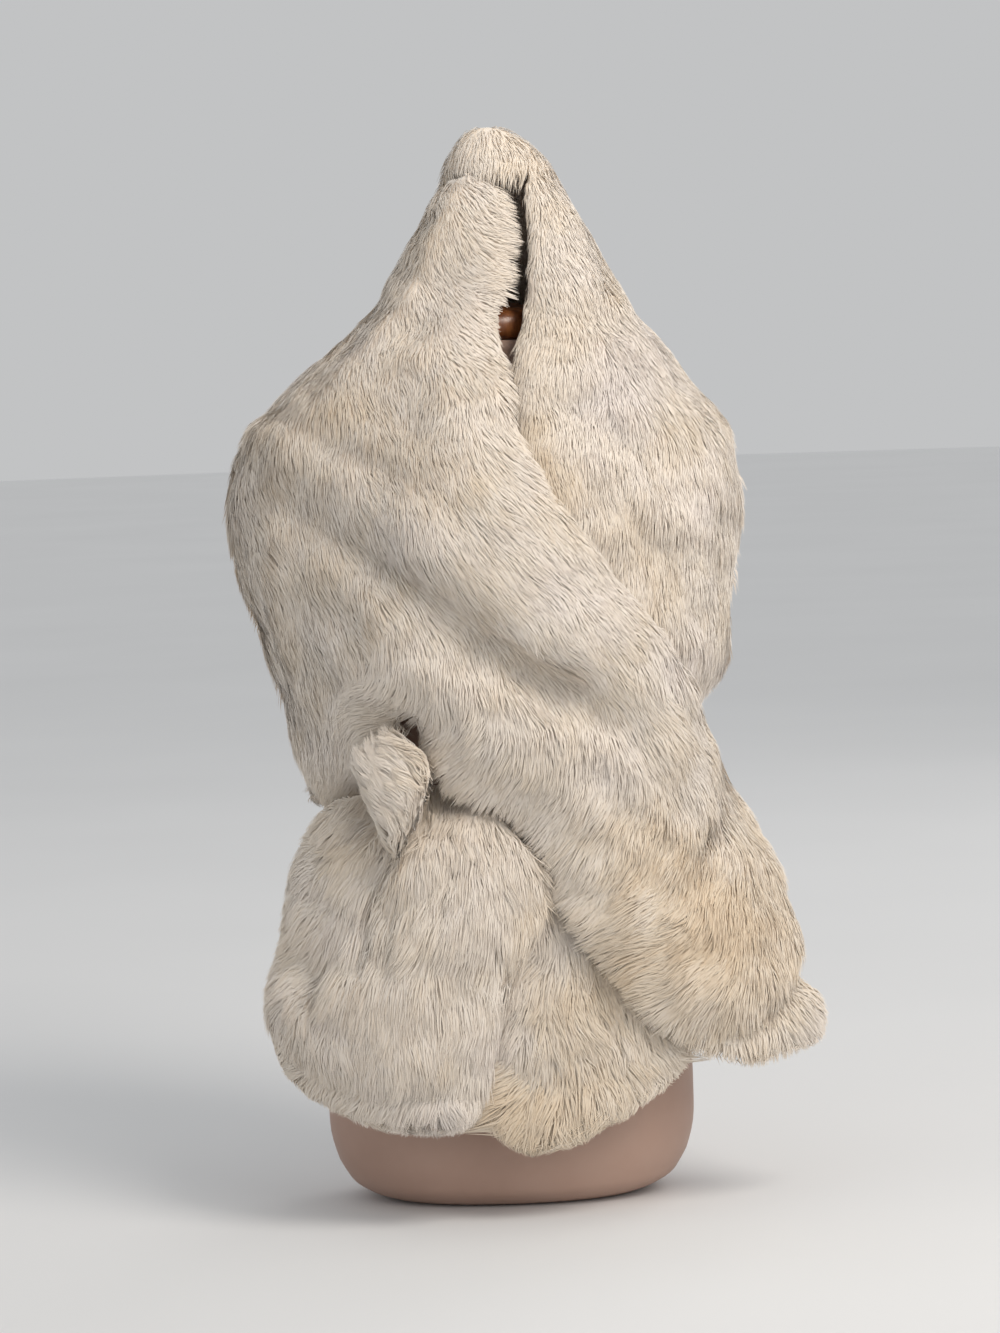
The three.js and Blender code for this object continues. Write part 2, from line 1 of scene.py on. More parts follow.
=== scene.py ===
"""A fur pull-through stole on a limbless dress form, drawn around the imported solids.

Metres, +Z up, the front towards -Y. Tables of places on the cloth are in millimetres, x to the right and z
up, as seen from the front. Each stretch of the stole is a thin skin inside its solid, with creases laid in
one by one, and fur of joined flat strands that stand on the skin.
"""

import math

import bmesh
import bpy
import numpy as np
from mathutils import Euler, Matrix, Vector
from mathutils.bvhtree import BVHTree
from mathutils.kdtree import KDTree


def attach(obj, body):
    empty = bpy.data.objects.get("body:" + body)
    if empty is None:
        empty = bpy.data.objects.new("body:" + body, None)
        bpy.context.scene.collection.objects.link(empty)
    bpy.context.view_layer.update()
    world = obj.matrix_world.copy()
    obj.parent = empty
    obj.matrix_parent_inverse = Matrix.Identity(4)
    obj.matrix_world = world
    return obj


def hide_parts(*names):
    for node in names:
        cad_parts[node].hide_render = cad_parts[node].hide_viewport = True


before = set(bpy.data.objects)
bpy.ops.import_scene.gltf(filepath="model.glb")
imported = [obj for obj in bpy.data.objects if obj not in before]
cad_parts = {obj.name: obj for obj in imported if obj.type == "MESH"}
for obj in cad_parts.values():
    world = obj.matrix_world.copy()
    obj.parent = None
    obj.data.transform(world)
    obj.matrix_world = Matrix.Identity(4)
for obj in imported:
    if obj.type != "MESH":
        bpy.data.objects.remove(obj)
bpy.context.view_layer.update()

MM = 0.001
UP = np.array([0.0, 0.0, 1.0])

# Skins
SKIN_DEPTH = 2.0 * MM  # how far a skin lies inside its solid
SEAM_LAP = 6.0 * MM  # how far skins of one cloth run on into each other at a seam
PEAK_SEAM_Z = 818 * MM  # where the front stretches meet the closed peak
PEAK_MIDDLE = [13 * MM, 0.0]  # the peak's axis in plan
SIDE_NEAR = 0.5 * MM  # what lies this close to y = 0 is on a side seam
PEAK_NEAR = 1.0 * MM  # and to the height of the peak's seam, on that one
WOOD_SHOWS = (14 * MM, 706 * MM)  # x and z where the slit shows the wood
PARTING = 15 * MM  # how far around there the pile parts
PARTING_WIDE = 1.6  # how many times as wide as it is high
PEAK_SLOPE = 1.2  # how far in the front stretches run for a rise of 1 under the peak
PEAK_RUN_IN = 8 * MM  # the height below the peak over which they do
SLIT_GROWN = 1.0 * MM  # how far the edges of the slit at the neck swell towards each other
SLIT_PARTED = 4.5 * MM  # how far they draw apart over the wood
SLIT_MIDDLE = 20 * MM  # x of the slit
SLIT_HALF = (40 * MM, 26 * MM)  # how far from its middle that begins and is full
SLIT_Z = (630 * MM, 660 * MM)  # the heights where it begins and is full
SLIT_BEHIND = -10 * MM  # y behind which nothing belongs to the slit
PEAK_CORE = 14 * MM  # what lies closer to the peak's axis belongs to its hollow
THIN_SHARE = 0.28  # the most of a thin edge that goes on each side
EDGE_INSET = 0.25  # share of the skin's depth at the edges
FACE = (0.2, 0.75)  # how far the surface turns to or from the wrap's middle, at an edge and on a face
EASED = 3  # rounds of smoothing for places and normals
INSET_EASED = 4  # and for how far in they lie
EDGE_BACK = 0.5  # share of the pile's length that an edge draws back where the pile points off it
EDGE_BACK_Z = (430 * MM, 330 * MM)  # above the first no edge draws back, and below the second all do
EDGE_LEADS = 0.15  # what draws back by more than this share takes along what lies beside it
EDGE_SPREAD = 14  # how many vertices wide that goes
BELL_MIDDLE = 5 * MM  # x of the middle of the wrap

# Fur: where it stands, how its clumps differ at a roughness of 1, and how the strands of one do
INNER_FACE = (0.15, -0.35)  # how far outward the surface turns, where the inner face begins and is full
INNER_THINNED = 0.86  # share of the strands that the inner faces lack
ENDS_THICKER = 0.36  # how much less of them they lack at the lower ends
ENDS_Z = (400 * MM, 330 * MM)  # the heights between which those begin
COVERED_THINNED = 0.9  # share that is lacking where another stretch lies over
INSIDE = -0.1  # where the surface turns outward by less than this, the pile hangs straight down
SWIRLS = (0.16, 0.12)  # how far the lay wanders in radians, in wide and in small swirls
CLUMP_TURN = 0.22
CLUMP_LENGTH = 0.2
CLUMP_LIFT = (0.4, 0.5)
CLUMP_SHADE = 0.06
OWN_TURN = 0.14
OWN_LENGTH = (0.7, 1.1)
OWN_LIFT = (0.6, 1.4)
OWN_DRAWN = (0.5, 1.2)
OWN_FACING = 0.14
OWN_WIDTH = (0.8, 1.4)  # in millimetres
OWN_TONE = 0.05
OWN_SHADE = 0.035
MIDDLE_DRAWN = 0.3  # share of the tip's draw to its clump that a strand's middle takes
MIDDLE_REACH = 0.8  # what CLUMP_REACH is for the tips
MIDDLE_OUT = 0.6  # share of the tip's reach outside the solids
MIDDLE_CLEAR = 0.8  # share of the tip's further clearance above the skin
NARROWS = 0.8  # width of a strand at its middle, as a share of that at its root
FLAT_SHARE = 0.15  # how much of a strand's own facing its shading takes
CLUMP_REACH = 0.42  # how far a strand at a clump's rim keeps from its middle at the tip
HEEL = 1.2 * MM  # how deep a strand stands in the skin
DROOP = 0.05  # share of a strand's length that its tip sinks
REACH_OUT = (1.5 * MM, 7.0 * MM)  # how far outside the solids the least and the most of the tips reach
SKIN_CLEAR = (0.5 * MM, 3.0 * MM)  # how far above their skin the middles and tips of strands keep
# Where tips reach further, as x, z, radius and how much further, in millimetres
LONG_REACH = [(8, 650, 24, 8), (18, 752, 26, 5), (20, 796, 22, 5), (-64, 396, 22, 10), (-112, 376, 20, 10)]
UV_WIDTH = 0.004  # of a strand in its map
UV_ROOT = 0.08  # v of a strand's root
UV_RISE = 0.74  # how much higher its tip is
UV_MIDDLE = 0.55  # share of that at its middle
BAKE_MAP = "OFBake"
FUR_SEED = 100

# Camera, as a distance, angles in degrees and the height of what it sees at the object
CAMERA = {"distance": 3.6, "elevation": 5, "roll": 2, "seen": 1.0664, "look_x": 3 * MM, "look_z": 425 * MM}
SENSOR = 36  # height of the camera's sensor in millimetres


def unit(v):
    return v / np.maximum(np.linalg.norm(v, axis=-1, keepdims=True), 1e-12)


def smoothstep(low, high, x):
    t = np.clip((x - low) / (high - low), 0, 1)
    return t * t * (3 - 2 * t)


class Waves:
    """A smooth random field in space with about one wavelength and a spread of 1."""

    def __init__(self, seed, wavelength, count=20):
        random = np.random.default_rng(seed)
        stretch = random.uniform(0.7, 1.5, (count, 1))
        self.ways = unit(random.normal(size=(count, 3))) * 2 * math.pi / (wavelength * stretch)
        self.starts = random.uniform(0, 2 * math.pi, count)

    def __call__(self, places):
        return np.sin(places @ self.ways.T + self.starts).sum(1) * math.sqrt(2 / len(self.starts))


def near_line(places, line):
    """The distance in the front view from each place to a line of (x, z) points in millimetres."""
    flat = places[:, [0, 2]]
    points = np.array(line, float) * MM
    nearest = np.full(len(flat), np.inf)
    for start, end in zip(points[:-1], points[1:]):
        way = end - start
        share = np.clip(((flat - start) @ way) / (way @ way), 0, 1)
        nearest = np.minimum(nearest, np.linalg.norm(flat - start - share[:, None] * way, axis=1))
    return nearest


def from_table(places, rows, reach=18 * MM):
    """Values at places, from rows of (x, z, values...) in the front view, the near rows counting most."""
    rows = np.array(rows, float)
    away = ((places[:, None, [0, 2]] - rows[None, :, :2] * MM) ** 2).sum(2) + reach**2
    share = away**-1.5
    share /= share.sum(1, keepdims=True)
    return share @ rows[:, 2:]


def outward(places):
    """The level way out of the wrap's middle."""
    out = places * [1, 1, 0] - [BELL_MIDDLE, 0, 0]
    return unit(out)


# Creases: the line of each trough, its depth and its half width in millimetres
OVER_CREASES = [
    {"depth": 8.0, "width": 16, "line": [(-160, 568), (-113, 539), (-51, 493), (4, 447), (44, 418)]},
    {"depth": 3.0, "width": 7, "line": [(-120, 542), (-70, 508), (-20, 466), (30, 428)]},
    {"depth": -4.0, "width": 17, "line": [(-140, 604), (-90, 570), (-36, 528), (16, 482), (56, 450)]},
    {"depth": 5.0, "width": 8, "line": [(20, 436), (44, 428), (62, 418), (72, 400)]},
    {"depth": 3.0, "width": 9, "line": [(40, 410), (68, 372), (92, 338), (108, 318)]},
    {"depth": 4.5, "width": 9, "line": [(104, 380), (126, 342), (150, 316), (162, 296)]},
    {"depth": 3.5, "width": 8, "line": [(128, 300), (118, 272), (124, 250)]},
    {"depth": 3.0, "width": 9, "line": [(-150, 470), (-118, 420), (-86, 398)]},
    {"depth": 2.5, "width": 10, "line": [(-175, 500), (-158, 440), (-138, 380)]},
    {"depth": 3.0, "width": 10, "line": [(-168, 640), (-120, 612), (-82, 600)]},
    {"depth": 4.5, "width": 9, "line": [(-104, 402), (-84, 412), (-66, 406), (-58, 390)]},
    {"depth": 8.0, "width": 8, "line": [(172, 138), (201, 149), (226, 170), (240, 186)]},
    {"depth": 2.5, "width": 8, "line": [(-60, 742), (-30, 730), (-6, 736)]},
]
UNDER_CREASES = [
    {"depth": 4.0, "width": 9, "line": [(40, 712), (78, 706), (104, 690)]},
    {"depth": 3.5, "width": 10, "line": [(70, 640), (104, 612), (146, 596)]},
    {"depth": 3.5, "width": 9, "line": [(96, 560), (134, 520), (152, 470)]},
    {"depth": 3.0, "width": 9, "line": [(120, 596), (150, 560), (186, 540)]},
    {"depth": 2.5, "width": 8, "line": [(52, 640), (100, 648), (160, 640)]},
]
THROUGH_CREASES = [
    {"depth": 6.0, "width": 7, "line": [(-76, 322), (-86, 300), (-98, 276), (-104, 256), (-112, 214)]},
    {"depth": 3.0, "width": 7, "line": [(-82, 262), (-86, 238), (-92, 214)]},
    {"depth": 3.0, "width": 8, "line": [(-40, 268), (-58, 246), (-52, 222)]},
    {"depth": 3.5, "width": 9, "line": [(-166, 134), (-120, 120), (-70, 112), (-26, 116)]},
    {"depth": 2.5, "width": 7, "line": [(-150, 262), (-156, 232), (-170, 206)]},
]
LOWER_CREASES = [
    {"depth": 3.0, "width": 10, "line": [(10, 130), (44, 112), (84, 124)]},
    {"depth": 2.0, "width": 9, "line": [(66, 196), (80, 160), (88, 130)]},
]
FOLD_CREASES = [{"depth": 2.0, "width": 6, "line": [(-96, 376), (-84, 350), (-78, 316)]}]
BACK_CREASES = [
    {"depth": 8.0, "width": 15, "line": [(-150, 612), (-70, 566), (30, 560), (120, 604)]},
    {"depth": -4.0, "width": 18, "line": [(-130, 650), (-50, 602), (40, 598), (110, 640)]},
    {"depth": 6.0, "width": 13, "line": [(-110, 516), (-30, 486), (60, 492)]},
    {"depth": 6.5, "width": 12, "line": [(60, 700), (84, 640), (130, 560), (150, 500)]},
    {"depth": 6.0, "width": 12, "line": [(-34, 716), (-74, 660), (-110, 640)]},
    {"depth": 5.0, "width": 12, "line": [(-20, 462), (40, 444), (96, 456)]},
]

# The lay of the pile: x, z, and the way that it points, to the right and up
OVER_LAY = [
    (-18, 800, 0.3, -0.95), (12, 780, 0.95, 0.1), (10, 740, 0.95, 0.0), (8, 700, 0.85, -0.45),
    (-40, 760, 0.1, -1.0), (-60, 690, 0.15, -1.0), (0, 650, 0.4, -0.9), (-110, 640, 0.2, -1.0),
    (-170, 590, 0.3, -0.95), (-178, 520, 0.65, -0.75), (-130, 480, 0.6, -0.8), (-165, 420, 0.45, -0.9),
    (-128, 400, 0.1, -1.0), (-90, 425, -0.75, -0.55), (-75, 395, -0.95, -0.25), (-120, 362, -0.75, -0.6),
    (-150, 350, -0.35, -0.95), (-60, 560, 0.6, -0.8), (0, 500, 0.75, -0.65), (24, 600, 0.45, -0.9),
    (60, 540, 0.7, -0.7), (90, 490, 0.75, -0.65), (60, 460, 0.8, -0.6), (-30, 425, 0.1, -1.0),
    (-46, 380, -0.95, -0.2), (-20, 350, -0.6, -0.8), (20, 340, -0.5, -0.85), (30, 300, -0.75, -0.65),
    (60, 380, 0.1, -1.0), (120, 420, 0.5, -0.85), (150, 370, 0.4, -0.9), (180, 320, 0.5, -0.85),
    (90, 310, -0.5, -0.85), (70, 250, -0.95, -0.25), (120, 240, -0.98, -0.15), (110, 190, -0.9, -0.4),
    (160, 250, -0.8, -0.5), (160, 190, -0.85, -0.5), (200, 240, -0.1, -1.0), (205, 190, 0.1, -1.0),
    (150, 145, -0.5, -0.85), (190, 135, -0.2, -1.0), (232, 160, 0.8, -0.5), (236, 132, 0.5, -0.85),
]
UNDER_LAY = [
    (48, 800, 0.1, -1.0), (38, 760, -0.45, -0.9), (70, 740, 0.1, -1.0), (44, 690, -0.1, -1.0),
    (90, 680, 0.1, -1.0), (60, 630, 0.0, -1.0), (150, 610, 0.15, -1.0), (110, 560, -0.05, -1.0),
    (180, 520, 0.1, -1.0), (140, 480, -0.1, -1.0), (170, 430, -0.25, -0.95), (20, 620, -0.2, -1.0),
]
THROUGH_LAY = [
    (-10, 318, 0.1, -1.0), (16, 270, 0.15, -1.0), (0, 200, 0.05, -1.0), (-50, 300, -0.1, -1.0),
    (-60, 240, -0.15, -1.0), (-50, 160, -0.12, -1.0), (-30, 90, 0.05, -1.0), (-80, 75, -0.1, -1.0),
    (-124, 326, -0.75, -0.6), (-148, 290, -0.9, -0.45), (-162, 240, -0.85, -0.5), (-120, 280, -0.5, -0.85),
    (-130, 230, -0.35, -0.95), (-180, 190, -0.75, -0.65), (-150, 170, -0.3, -0.95), (-178, 140, -0.6, -0.8),
    (-150, 100, -0.35, -0.95), (-100, 150, -0.2, -1.0), (-92, 320, -0.6, -0.8),
]
LOWER_LAY = [
    (60, 220, 0.1, -1.0), (20, 190, -0.35, -0.95), (90, 170, 0.35, -0.9), (50, 140, 0.0, -1.0),
    (-14, 120, -0.9, -0.4), (-18, 84, -0.8, -0.6), (0, 62, -0.4, -0.9), (24, 50, 0.05, -1.0),
    (56, 62, 0.4, -0.9), (90, 80, 0.65, -0.75), (120, 104, 0.8, -0.6), (138, 132, 0.9, -0.4),
]
FOLD_LAY = [
    (-105, 376, -0.85, 0.5), (-84, 388, -0.5, 0.85), (-60, 372, -0.45, 0.9), (-80, 340, -0.6, 0.8),
    (-80, 300, -0.4, 0.9),
]
BACK_LAY = [
    (0, 840, 0.1, -1.0), (0, 700, 0.1, -1.0), (-100, 640, 0.2, -0.95), (120, 640, 0.2, -0.95),
    (-150, 540, 0.3, -0.95), (0, 560, 0.1, -1.0), (160, 540, 0.2, -0.95), (-120, 420, 0.3, -0.95),
    (40, 440, 0.0, -1.0), (150, 430, 0.15, -1.0),
]

# The tone of the pile: x, z, radius and how much warmer, or cooler, than the rest
WARM_SPOTS = [
    (38, 622, 15, 0.3), (44, 600, 16, 0.3), (58, 582, 16, 0.2), (112, 548, 26, 0.16), (100, 560, 20, 0.1),
    (140, 500, 22, 0.14), (118, 478, 16, 0.1), (60, 180, 30, 0.3), (96, 212, 24, 0.28), (12, 110, 24, 0.28),
    (170, 220, 60, 0.5), (120, 290, 50, 0.3), (50, 80, 60, 0.4), (-30, 250, 26, 0.12), (-120, 300, 22, 0.12),
    (-60, 640, 40, 0.1), (-140, 620, 60, 0.12), (170, 560, 22, -0.3), (150, 440, 30, -0.3),
    (100, 650, 30, -0.3), (-6, 150, 22, -0.35), (-60, 90, 40, -0.3), (236, 140, 20, -0.2),
    (40, 500, 30, -0.2), (120, 690, 30, -0.2),
]

# Every stretch: its node, creases and lay, the size of a voxel of its skin, and whether it runs on at a seam;
# its fur, as strands, length, rise at the root and at the tip in degrees, strands to a clump, how far a clump
# draws together and how much clumps differ; and its flat size in metres, how it is held and what it rests on
STRETCHES = [
    {
        "node": "collar_back", "name": "back", "voxel": 5.5, "seam": True,
        "creases": BACK_CREASES, "lay": BACK_LAY,
        "strands": 58000, "length": 24, "rise": (13, 1), "clump": 14, "drawn": 0.4, "rough": 0.35,
        "flat": (0.42, 0.44), "held": "draped", "rests_on": ["form_finial", "form_torso"],
    },
    {
        "node": "over_front", "name": "over", "voxel": 4.5, "seam": True,
        "creases": OVER_CREASES, "lay": OVER_LAY,
        "strands": 92000, "length": 24, "rise": (13, 1), "clump": 14, "drawn": 0.4, "rough": 0.35,
        "flat": (0.36, 0.54), "held": "draped", "rests_on": ["under_front", "form_torso"],
    },
    {
        "node": "under_front", "name": "under", "voxel": 4.5, "seam": True,
        "creases": UNDER_CREASES, "lay": UNDER_LAY,
        "strands": 44000, "length": 22, "rise": (13, 1), "clump": 12, "drawn": 0.4, "rough": 0.35,
        "flat": (0.26, 0.38), "held": "draped", "rests_on": ["form_torso"],
    },
    {
        "node": "through_end", "name": "through", "voxel": 4, "seam": False,
        "creases": THROUGH_CREASES, "lay": THROUGH_LAY,
        "strands": 42000, "length": 32, "rise": (16, 1), "clump": 22, "drawn": 0.6, "rough": 0.6,
        "flat": (0.26, 0.25), "held": "gathered", "rests_on": ["over_front"],
    },
    {
        "node": "over_lower", "name": "tail", "voxel": 4, "seam": False,
        "creases": LOWER_CREASES, "lay": LOWER_LAY,
        "strands": 16500, "length": 34, "rise": (18, 1), "clump": 24, "drawn": 0.65, "rough": 0.75,
        "flat": (0.19, 0.19), "held": "hung", "rests_on": ["form_torso"],
    },
    {
        "node": "through_fold", "name": "corner", "voxel": 3, "seam": False,
        "creases": FOLD_CREASES, "lay": FOLD_LAY,
        "strands": 7000, "length": 24, "rise": (20, 4), "clump": 18, "drawn": 0.65, "rough": 0.8,
        "flat": (0.05, 0.09), "held": "folded", "rests_on": ["through_end"],
    },
]
MOST_STRANDS = 60000  # in one piece of fur


def mesh_arrays(mesh):
    """Places and triangles of a mesh."""
    places = np.empty(len(mesh.vertices) * 3, np.float32)
    mesh.vertices.foreach_get("co", places)
    mesh.calc_loop_triangles()
    corners = np.empty(len(mesh.loop_triangles) * 3, np.int32)
    mesh.loop_triangles.foreach_get("vertices", corners)
    return places.reshape(-1, 3).astype(float), corners.reshape(-1, 3)


def vertex_normals(places, corners):
    a, b, c = (places[corners[:, k]] for k in range(3))
    across = np.cross(b - a, c - a)
    total = np.zeros_like(places)
    for k in range(3):
        for axis in range(3):
            total[:, axis] += np.bincount(corners[:, k], across[:, axis], len(places))
    return unit(total)


class Neighbours:
    """Means over the neighbours of each vertex."""

    def __init__(self, corners, count):
        pairs = np.concatenate([corners[:, [0, 1]], corners[:, [1, 2]], corners[:, [2, 0]]])
        self.pairs = np.concatenate([pairs, pairs[:, ::-1]])
        self.count = count
        self.each = np.maximum(np.bincount(self.pairs[:, 0], minlength=count), 1)

    def mean(self, values):
        columns = values.reshape(self.count, -1)
        sums = [np.bincount(self.pairs[:, 0], column[self.pairs[:, 1]], self.count) for column in columns.T]
        return (np.stack(sums, 1) / self.each[:, None]).reshape(values.shape)

    def smooth(self, values, times, share=0.5):
        for _ in range(times):
            values = values * (1 - share) + self.mean(values) * share
        return values


def linked(name, data):
    made = bpy.data.objects.new(name, data)
    bpy.context.scene.collection.objects.link(made)
    return made


def new_object(name, mesh, material):
    piece = linked(name, mesh)
    mesh.materials.clear()
    mesh.materials.append(material)
    return piece


def run_on(name, places):
    """Draws the seam faces of a stretch on into the stretches that it is one with."""
    places = places.copy()
    level = places[:, :2] - PEAK_MIDDLE
    reach = np.linalg.norm(level, axis=1)
    at_side = np.abs(places[:, 1]) < SIDE_NEAR
    if name == "back":
        on_seam = np.abs(places[:, 2] - PEAK_SEAM_Z) < PEAK_NEAR
        at_peak = on_seam & (reach > PEAK_CORE) & (places[:, 1] < 0)
        places[at_side & ~at_peak, 1] -= SEAM_LAP
        places[at_peak, 2] -= SEAM_LAP
        return places
    share = np.clip((places[:, 2] - PEAK_SEAM_Z) / PEAK_RUN_IN + 1, 0, 1)
    places[at_side, 1] += SEAM_LAP
    inward = 1 - PEAK_SLOPE * SEAM_LAP * share / reach
    places[:, :2] = PEAK_MIDDLE + (places[:, :2] - PEAK_MIDDLE) * inward[:, None]
    places[:, 2] += SEAM_LAP * share
    return places


# The folded corner narrows downwards: its middle as x at each z, and its width there
CORNER_MIDDLE = [(280, -82), (330, -88), (392, -88)]
CORNER_WIDTH = [(280, 0.45), (330, 0.75), (380, 1.15), (396, 1.0)]


def tapered(places):
    z = places[:, 2] / MM
    middle = np.interp(z, *zip(*CORNER_MIDDLE)) * MM
    width = np.interp(z, *zip(*CORNER_WIDTH))
    places = places.copy()
    places[:, 0] = middle + (places[:, 0] - middle) * width
    return places


def remeshed(spec):
    """A stretch's solid as an even mesh, drawn on at its seams."""
    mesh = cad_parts[spec["node"]].data.copy()
    bm = bmesh.new()
    bm.from_mesh(mesh)
    bmesh.ops.remove_doubles(bm, verts=bm.verts, dist=0.01 * MM)
    bm.to_mesh(mesh)
    bm.free()
    if spec["seam"]:
        places = run_on(spec["name"], mesh_arrays(mesh)[0])
        mesh.vertices.foreach_set("co", places.astype(np.float32).ravel())
        mesh.update()
    solid = linked("solid", mesh)
    even = solid.modifiers.new("even", "REMESH")
    even.mode = "VOXEL"
    even.voxel_size = spec["voxel"] * MM
    seen = solid.evaluated_get(bpy.context.evaluated_depsgraph_get())
    made = bpy.data.meshes.new_from_object(seen)
    bpy.data.objects.remove(solid)
    bpy.data.meshes.remove(mesh)
    return made


def wall_at(tree, places, normals, inside=0.3, most=30 * MM):
    """How thick the wall is behind each place."""
    thick = np.full(len(places), most)
    for k, (place, normal) in enumerate(zip(places, normals)):
        start = Vector(place - normal * inside * MM)
        hit = tree.ray_cast(start, Vector(-normal), most)
        if hit[3] is not None:
            thick[k] = hit[3]
    return thick


LUMPS = Waves(3, 48 * MM)
SMALL_LUMPS = Waves(4, 19 * MM)
LUMP_HEIGHTS = (1.2, 0.2)  # of the large and the small lumps in millimetres
CREASE_FACE = (0.0, 0.4)  # how far outward the surface turns, where creases begin and are full


def crease(places, normals, creases):
    """Moves the outer face in along the creases, and lets it swell and sink a little between them."""
    faces_out = smoothstep(*CREASE_FACE, (normals * outward(places)).sum(1))
    sunk = np.zeros(len(places))
    for row in creases:
        away = near_line(places, row["line"])
        sunk += row["depth"] * MM * np.exp(-((away / (row["width"] * MM)) ** 2))
    large, small = LUMP_HEIGHTS
    swell = (large * LUMPS(places) + small * SMALL_LUMPS(places)) * MM
    return places + normals * ((swell - sunk) * faces_out)[:, None]


def drawn_back(spec, places, normals, faces_out, beside):
    """How each place moves where the pile points off an edge, so that its tips end where the solid does."""
    level = unit(np.cross(UP, outward(places)))
    lay = from_table(places, spec["lay"])
    way = unit(level * lay[:, :1] + UP * lay[:, 1:])
    low = smoothstep(*EDGE_BACK_Z, places[:, 2])
    off_edge = np.clip((way * normals).sum(1), 0, 1) * (1 - faces_out) * low
    back = -way * (off_edge * EDGE_BACK * length_at(spec, places))[:, None]
    leads = off_edge > EDGE_LEADS
    moved = back
    for _ in range(EDGE_SPREAD):
        moved = np.where(leads[:, None], back, beside.mean(moved))
    return moved


def parting(places):
    """1 where the pile parts at the slit and shows the wood."""
    away = np.hypot((places[:, 0] - WOOD_SHOWS[0]) / PARTING_WIDE, places[:, 2] - WOOD_SHOWS[1])
    return np.exp(-((away / PARTING) ** 2))


# How much further in each skin lies at the peak's seam, and the heights between which that grows
PEAK_FIT = {
    "back": {"inset": -3.4 * MM, "z": (806 * MM, 824 * MM)},
    "over": {"inset": 5.0 * MM, "z": (786 * MM, PEAK_SEAM_Z - 3 * MM)},
    "under": {"inset": 2.2 * MM, "z": (786 * MM, PEAK_SEAM_Z - 3 * MM)},
}


def fitted_at(spec, places, faces_out):
    """How much further in skins lie where the fronts meet the peak, and out at the edges of the slit."""
    if spec["name"] not in PEAK_FIT:
        return np.zeros(len(places))
    x, y, z = places.T
    fit = PEAK_FIT[spec["name"]]
    at_peak = fit["inset"] * smoothstep(*fit["z"], z)
    if spec["name"] == "back":
        return at_peak
    near_slit = smoothstep(*SLIT_HALF, np.abs(x - SLIT_MIDDLE)) * smoothstep(*SLIT_Z, z)
    parted = parting(places)
    apart = SLIT_PARTED * parted - SLIT_GROWN * (1 - parted)
    return at_peak + apart * near_slit * (1 - faces_out) * (y < SLIT_BEHIND)


# How far the lower ends draw up, as the length and the heights between which it grows
DRAWN_UP = {"through": (14, 135, 62), "tail": (9, 115, 50)}


def skin(spec, material):
    """The cloth of one stretch: its solid made even, drawn in by the depth of the pile, and creased."""
    mesh = remeshed(spec)
    places, corners = mesh_arrays(mesh)
    beside = Neighbours(corners, len(places))
    places = beside.smooth(places, EASED)
    if spec["name"] == "corner":
        places = tapered(places)
    if spec["name"] in DRAWN_UP:
        length, high, low = (value * MM for value in DRAWN_UP[spec["name"]])
        places = places + UP * (length * smoothstep(high, low, places[:, 2]))[:, None]
    solid_places = places
    solid_tree = BVHTree.FromPolygons(places.tolist(), corners.tolist())
    normals = vertex_normals(places, corners)
    faces_out = smoothstep(*FACE, np.abs((normals * outward(places)).sum(1)))
    inset = np.minimum(SKIN_DEPTH, THIN_SHARE * wall_at(solid_tree, places, normals))
    inset = beside.smooth(inset * (EDGE_INSET + (1 - EDGE_INSET) * faces_out), INSET_EASED)
    inset = inset + fitted_at(spec, places, faces_out)
    moved = drawn_back(spec, places, normals, faces_out, beside)
    places = places - normals * inset[:, None] + moved
    normals = beside.smooth(vertex_normals(places, corners), EASED)
    places = crease(places, unit(normals), spec["creases"])
    places = beside.smooth(places, EASED)
    mesh.vertices.foreach_set("co", places.astype(np.float32).ravel())
    mesh.polygons.foreach_set("use_smooth", np.ones(len(mesh.polygons), bool))
    tone = mesh.attributes.new("tone", "FLOAT", "POINT")
    tone.data.foreach_set("value", tone_at(places).astype(np.float32))
    mesh.update()
    piece = new_object("stole_" + spec["name"], mesh, material)
    return {"spec": spec, "piece": piece, "places": places, "corners": corners, "solid_places": solid_places}


TONE_WAVES = Waves(11, 70 * MM)
FINE_TONE_WAVES = Waves(12, 22 * MM)
TONE_MIDDLE = 0.46
TONE_SPREADS = (0.06, 0.04)  # of the wide and the fine waves
TONE_ENDS = (0.02, 0.98)


def tone_at(places):
    """The pile's tone, 0 cool, 0.5 plain and 1 warm."""
    wide, fine = TONE_SPREADS
    tone = TONE_MIDDLE + wide * TONE_WAVES(places) + fine * FINE_TONE_WAVES(places)
    in_front = places[:, 1] < 0
    for x, z, radius, warmer in WARM_SPOTS:
        away = np.hypot(places[:, 0] - x * MM, places[:, 2] - z * MM)
        tone += warmer * np.exp(-((away / (radius * MM)) ** 2)) * in_front
    return np.clip(tone, *TONE_ENDS)


def hidden(tree, places, normals, clear=2, reach=45 * MM):
    """1 where another stretch lies close over a place."""
    under = np.zeros(len(places))
    for k, (place, normal) in enumerate(zip(places, normals)):
        hit = tree.ray_cast(Vector(place + normal * clear * MM), Vector(normal), reach)
        under[k] = hit[3] is not None
    return under


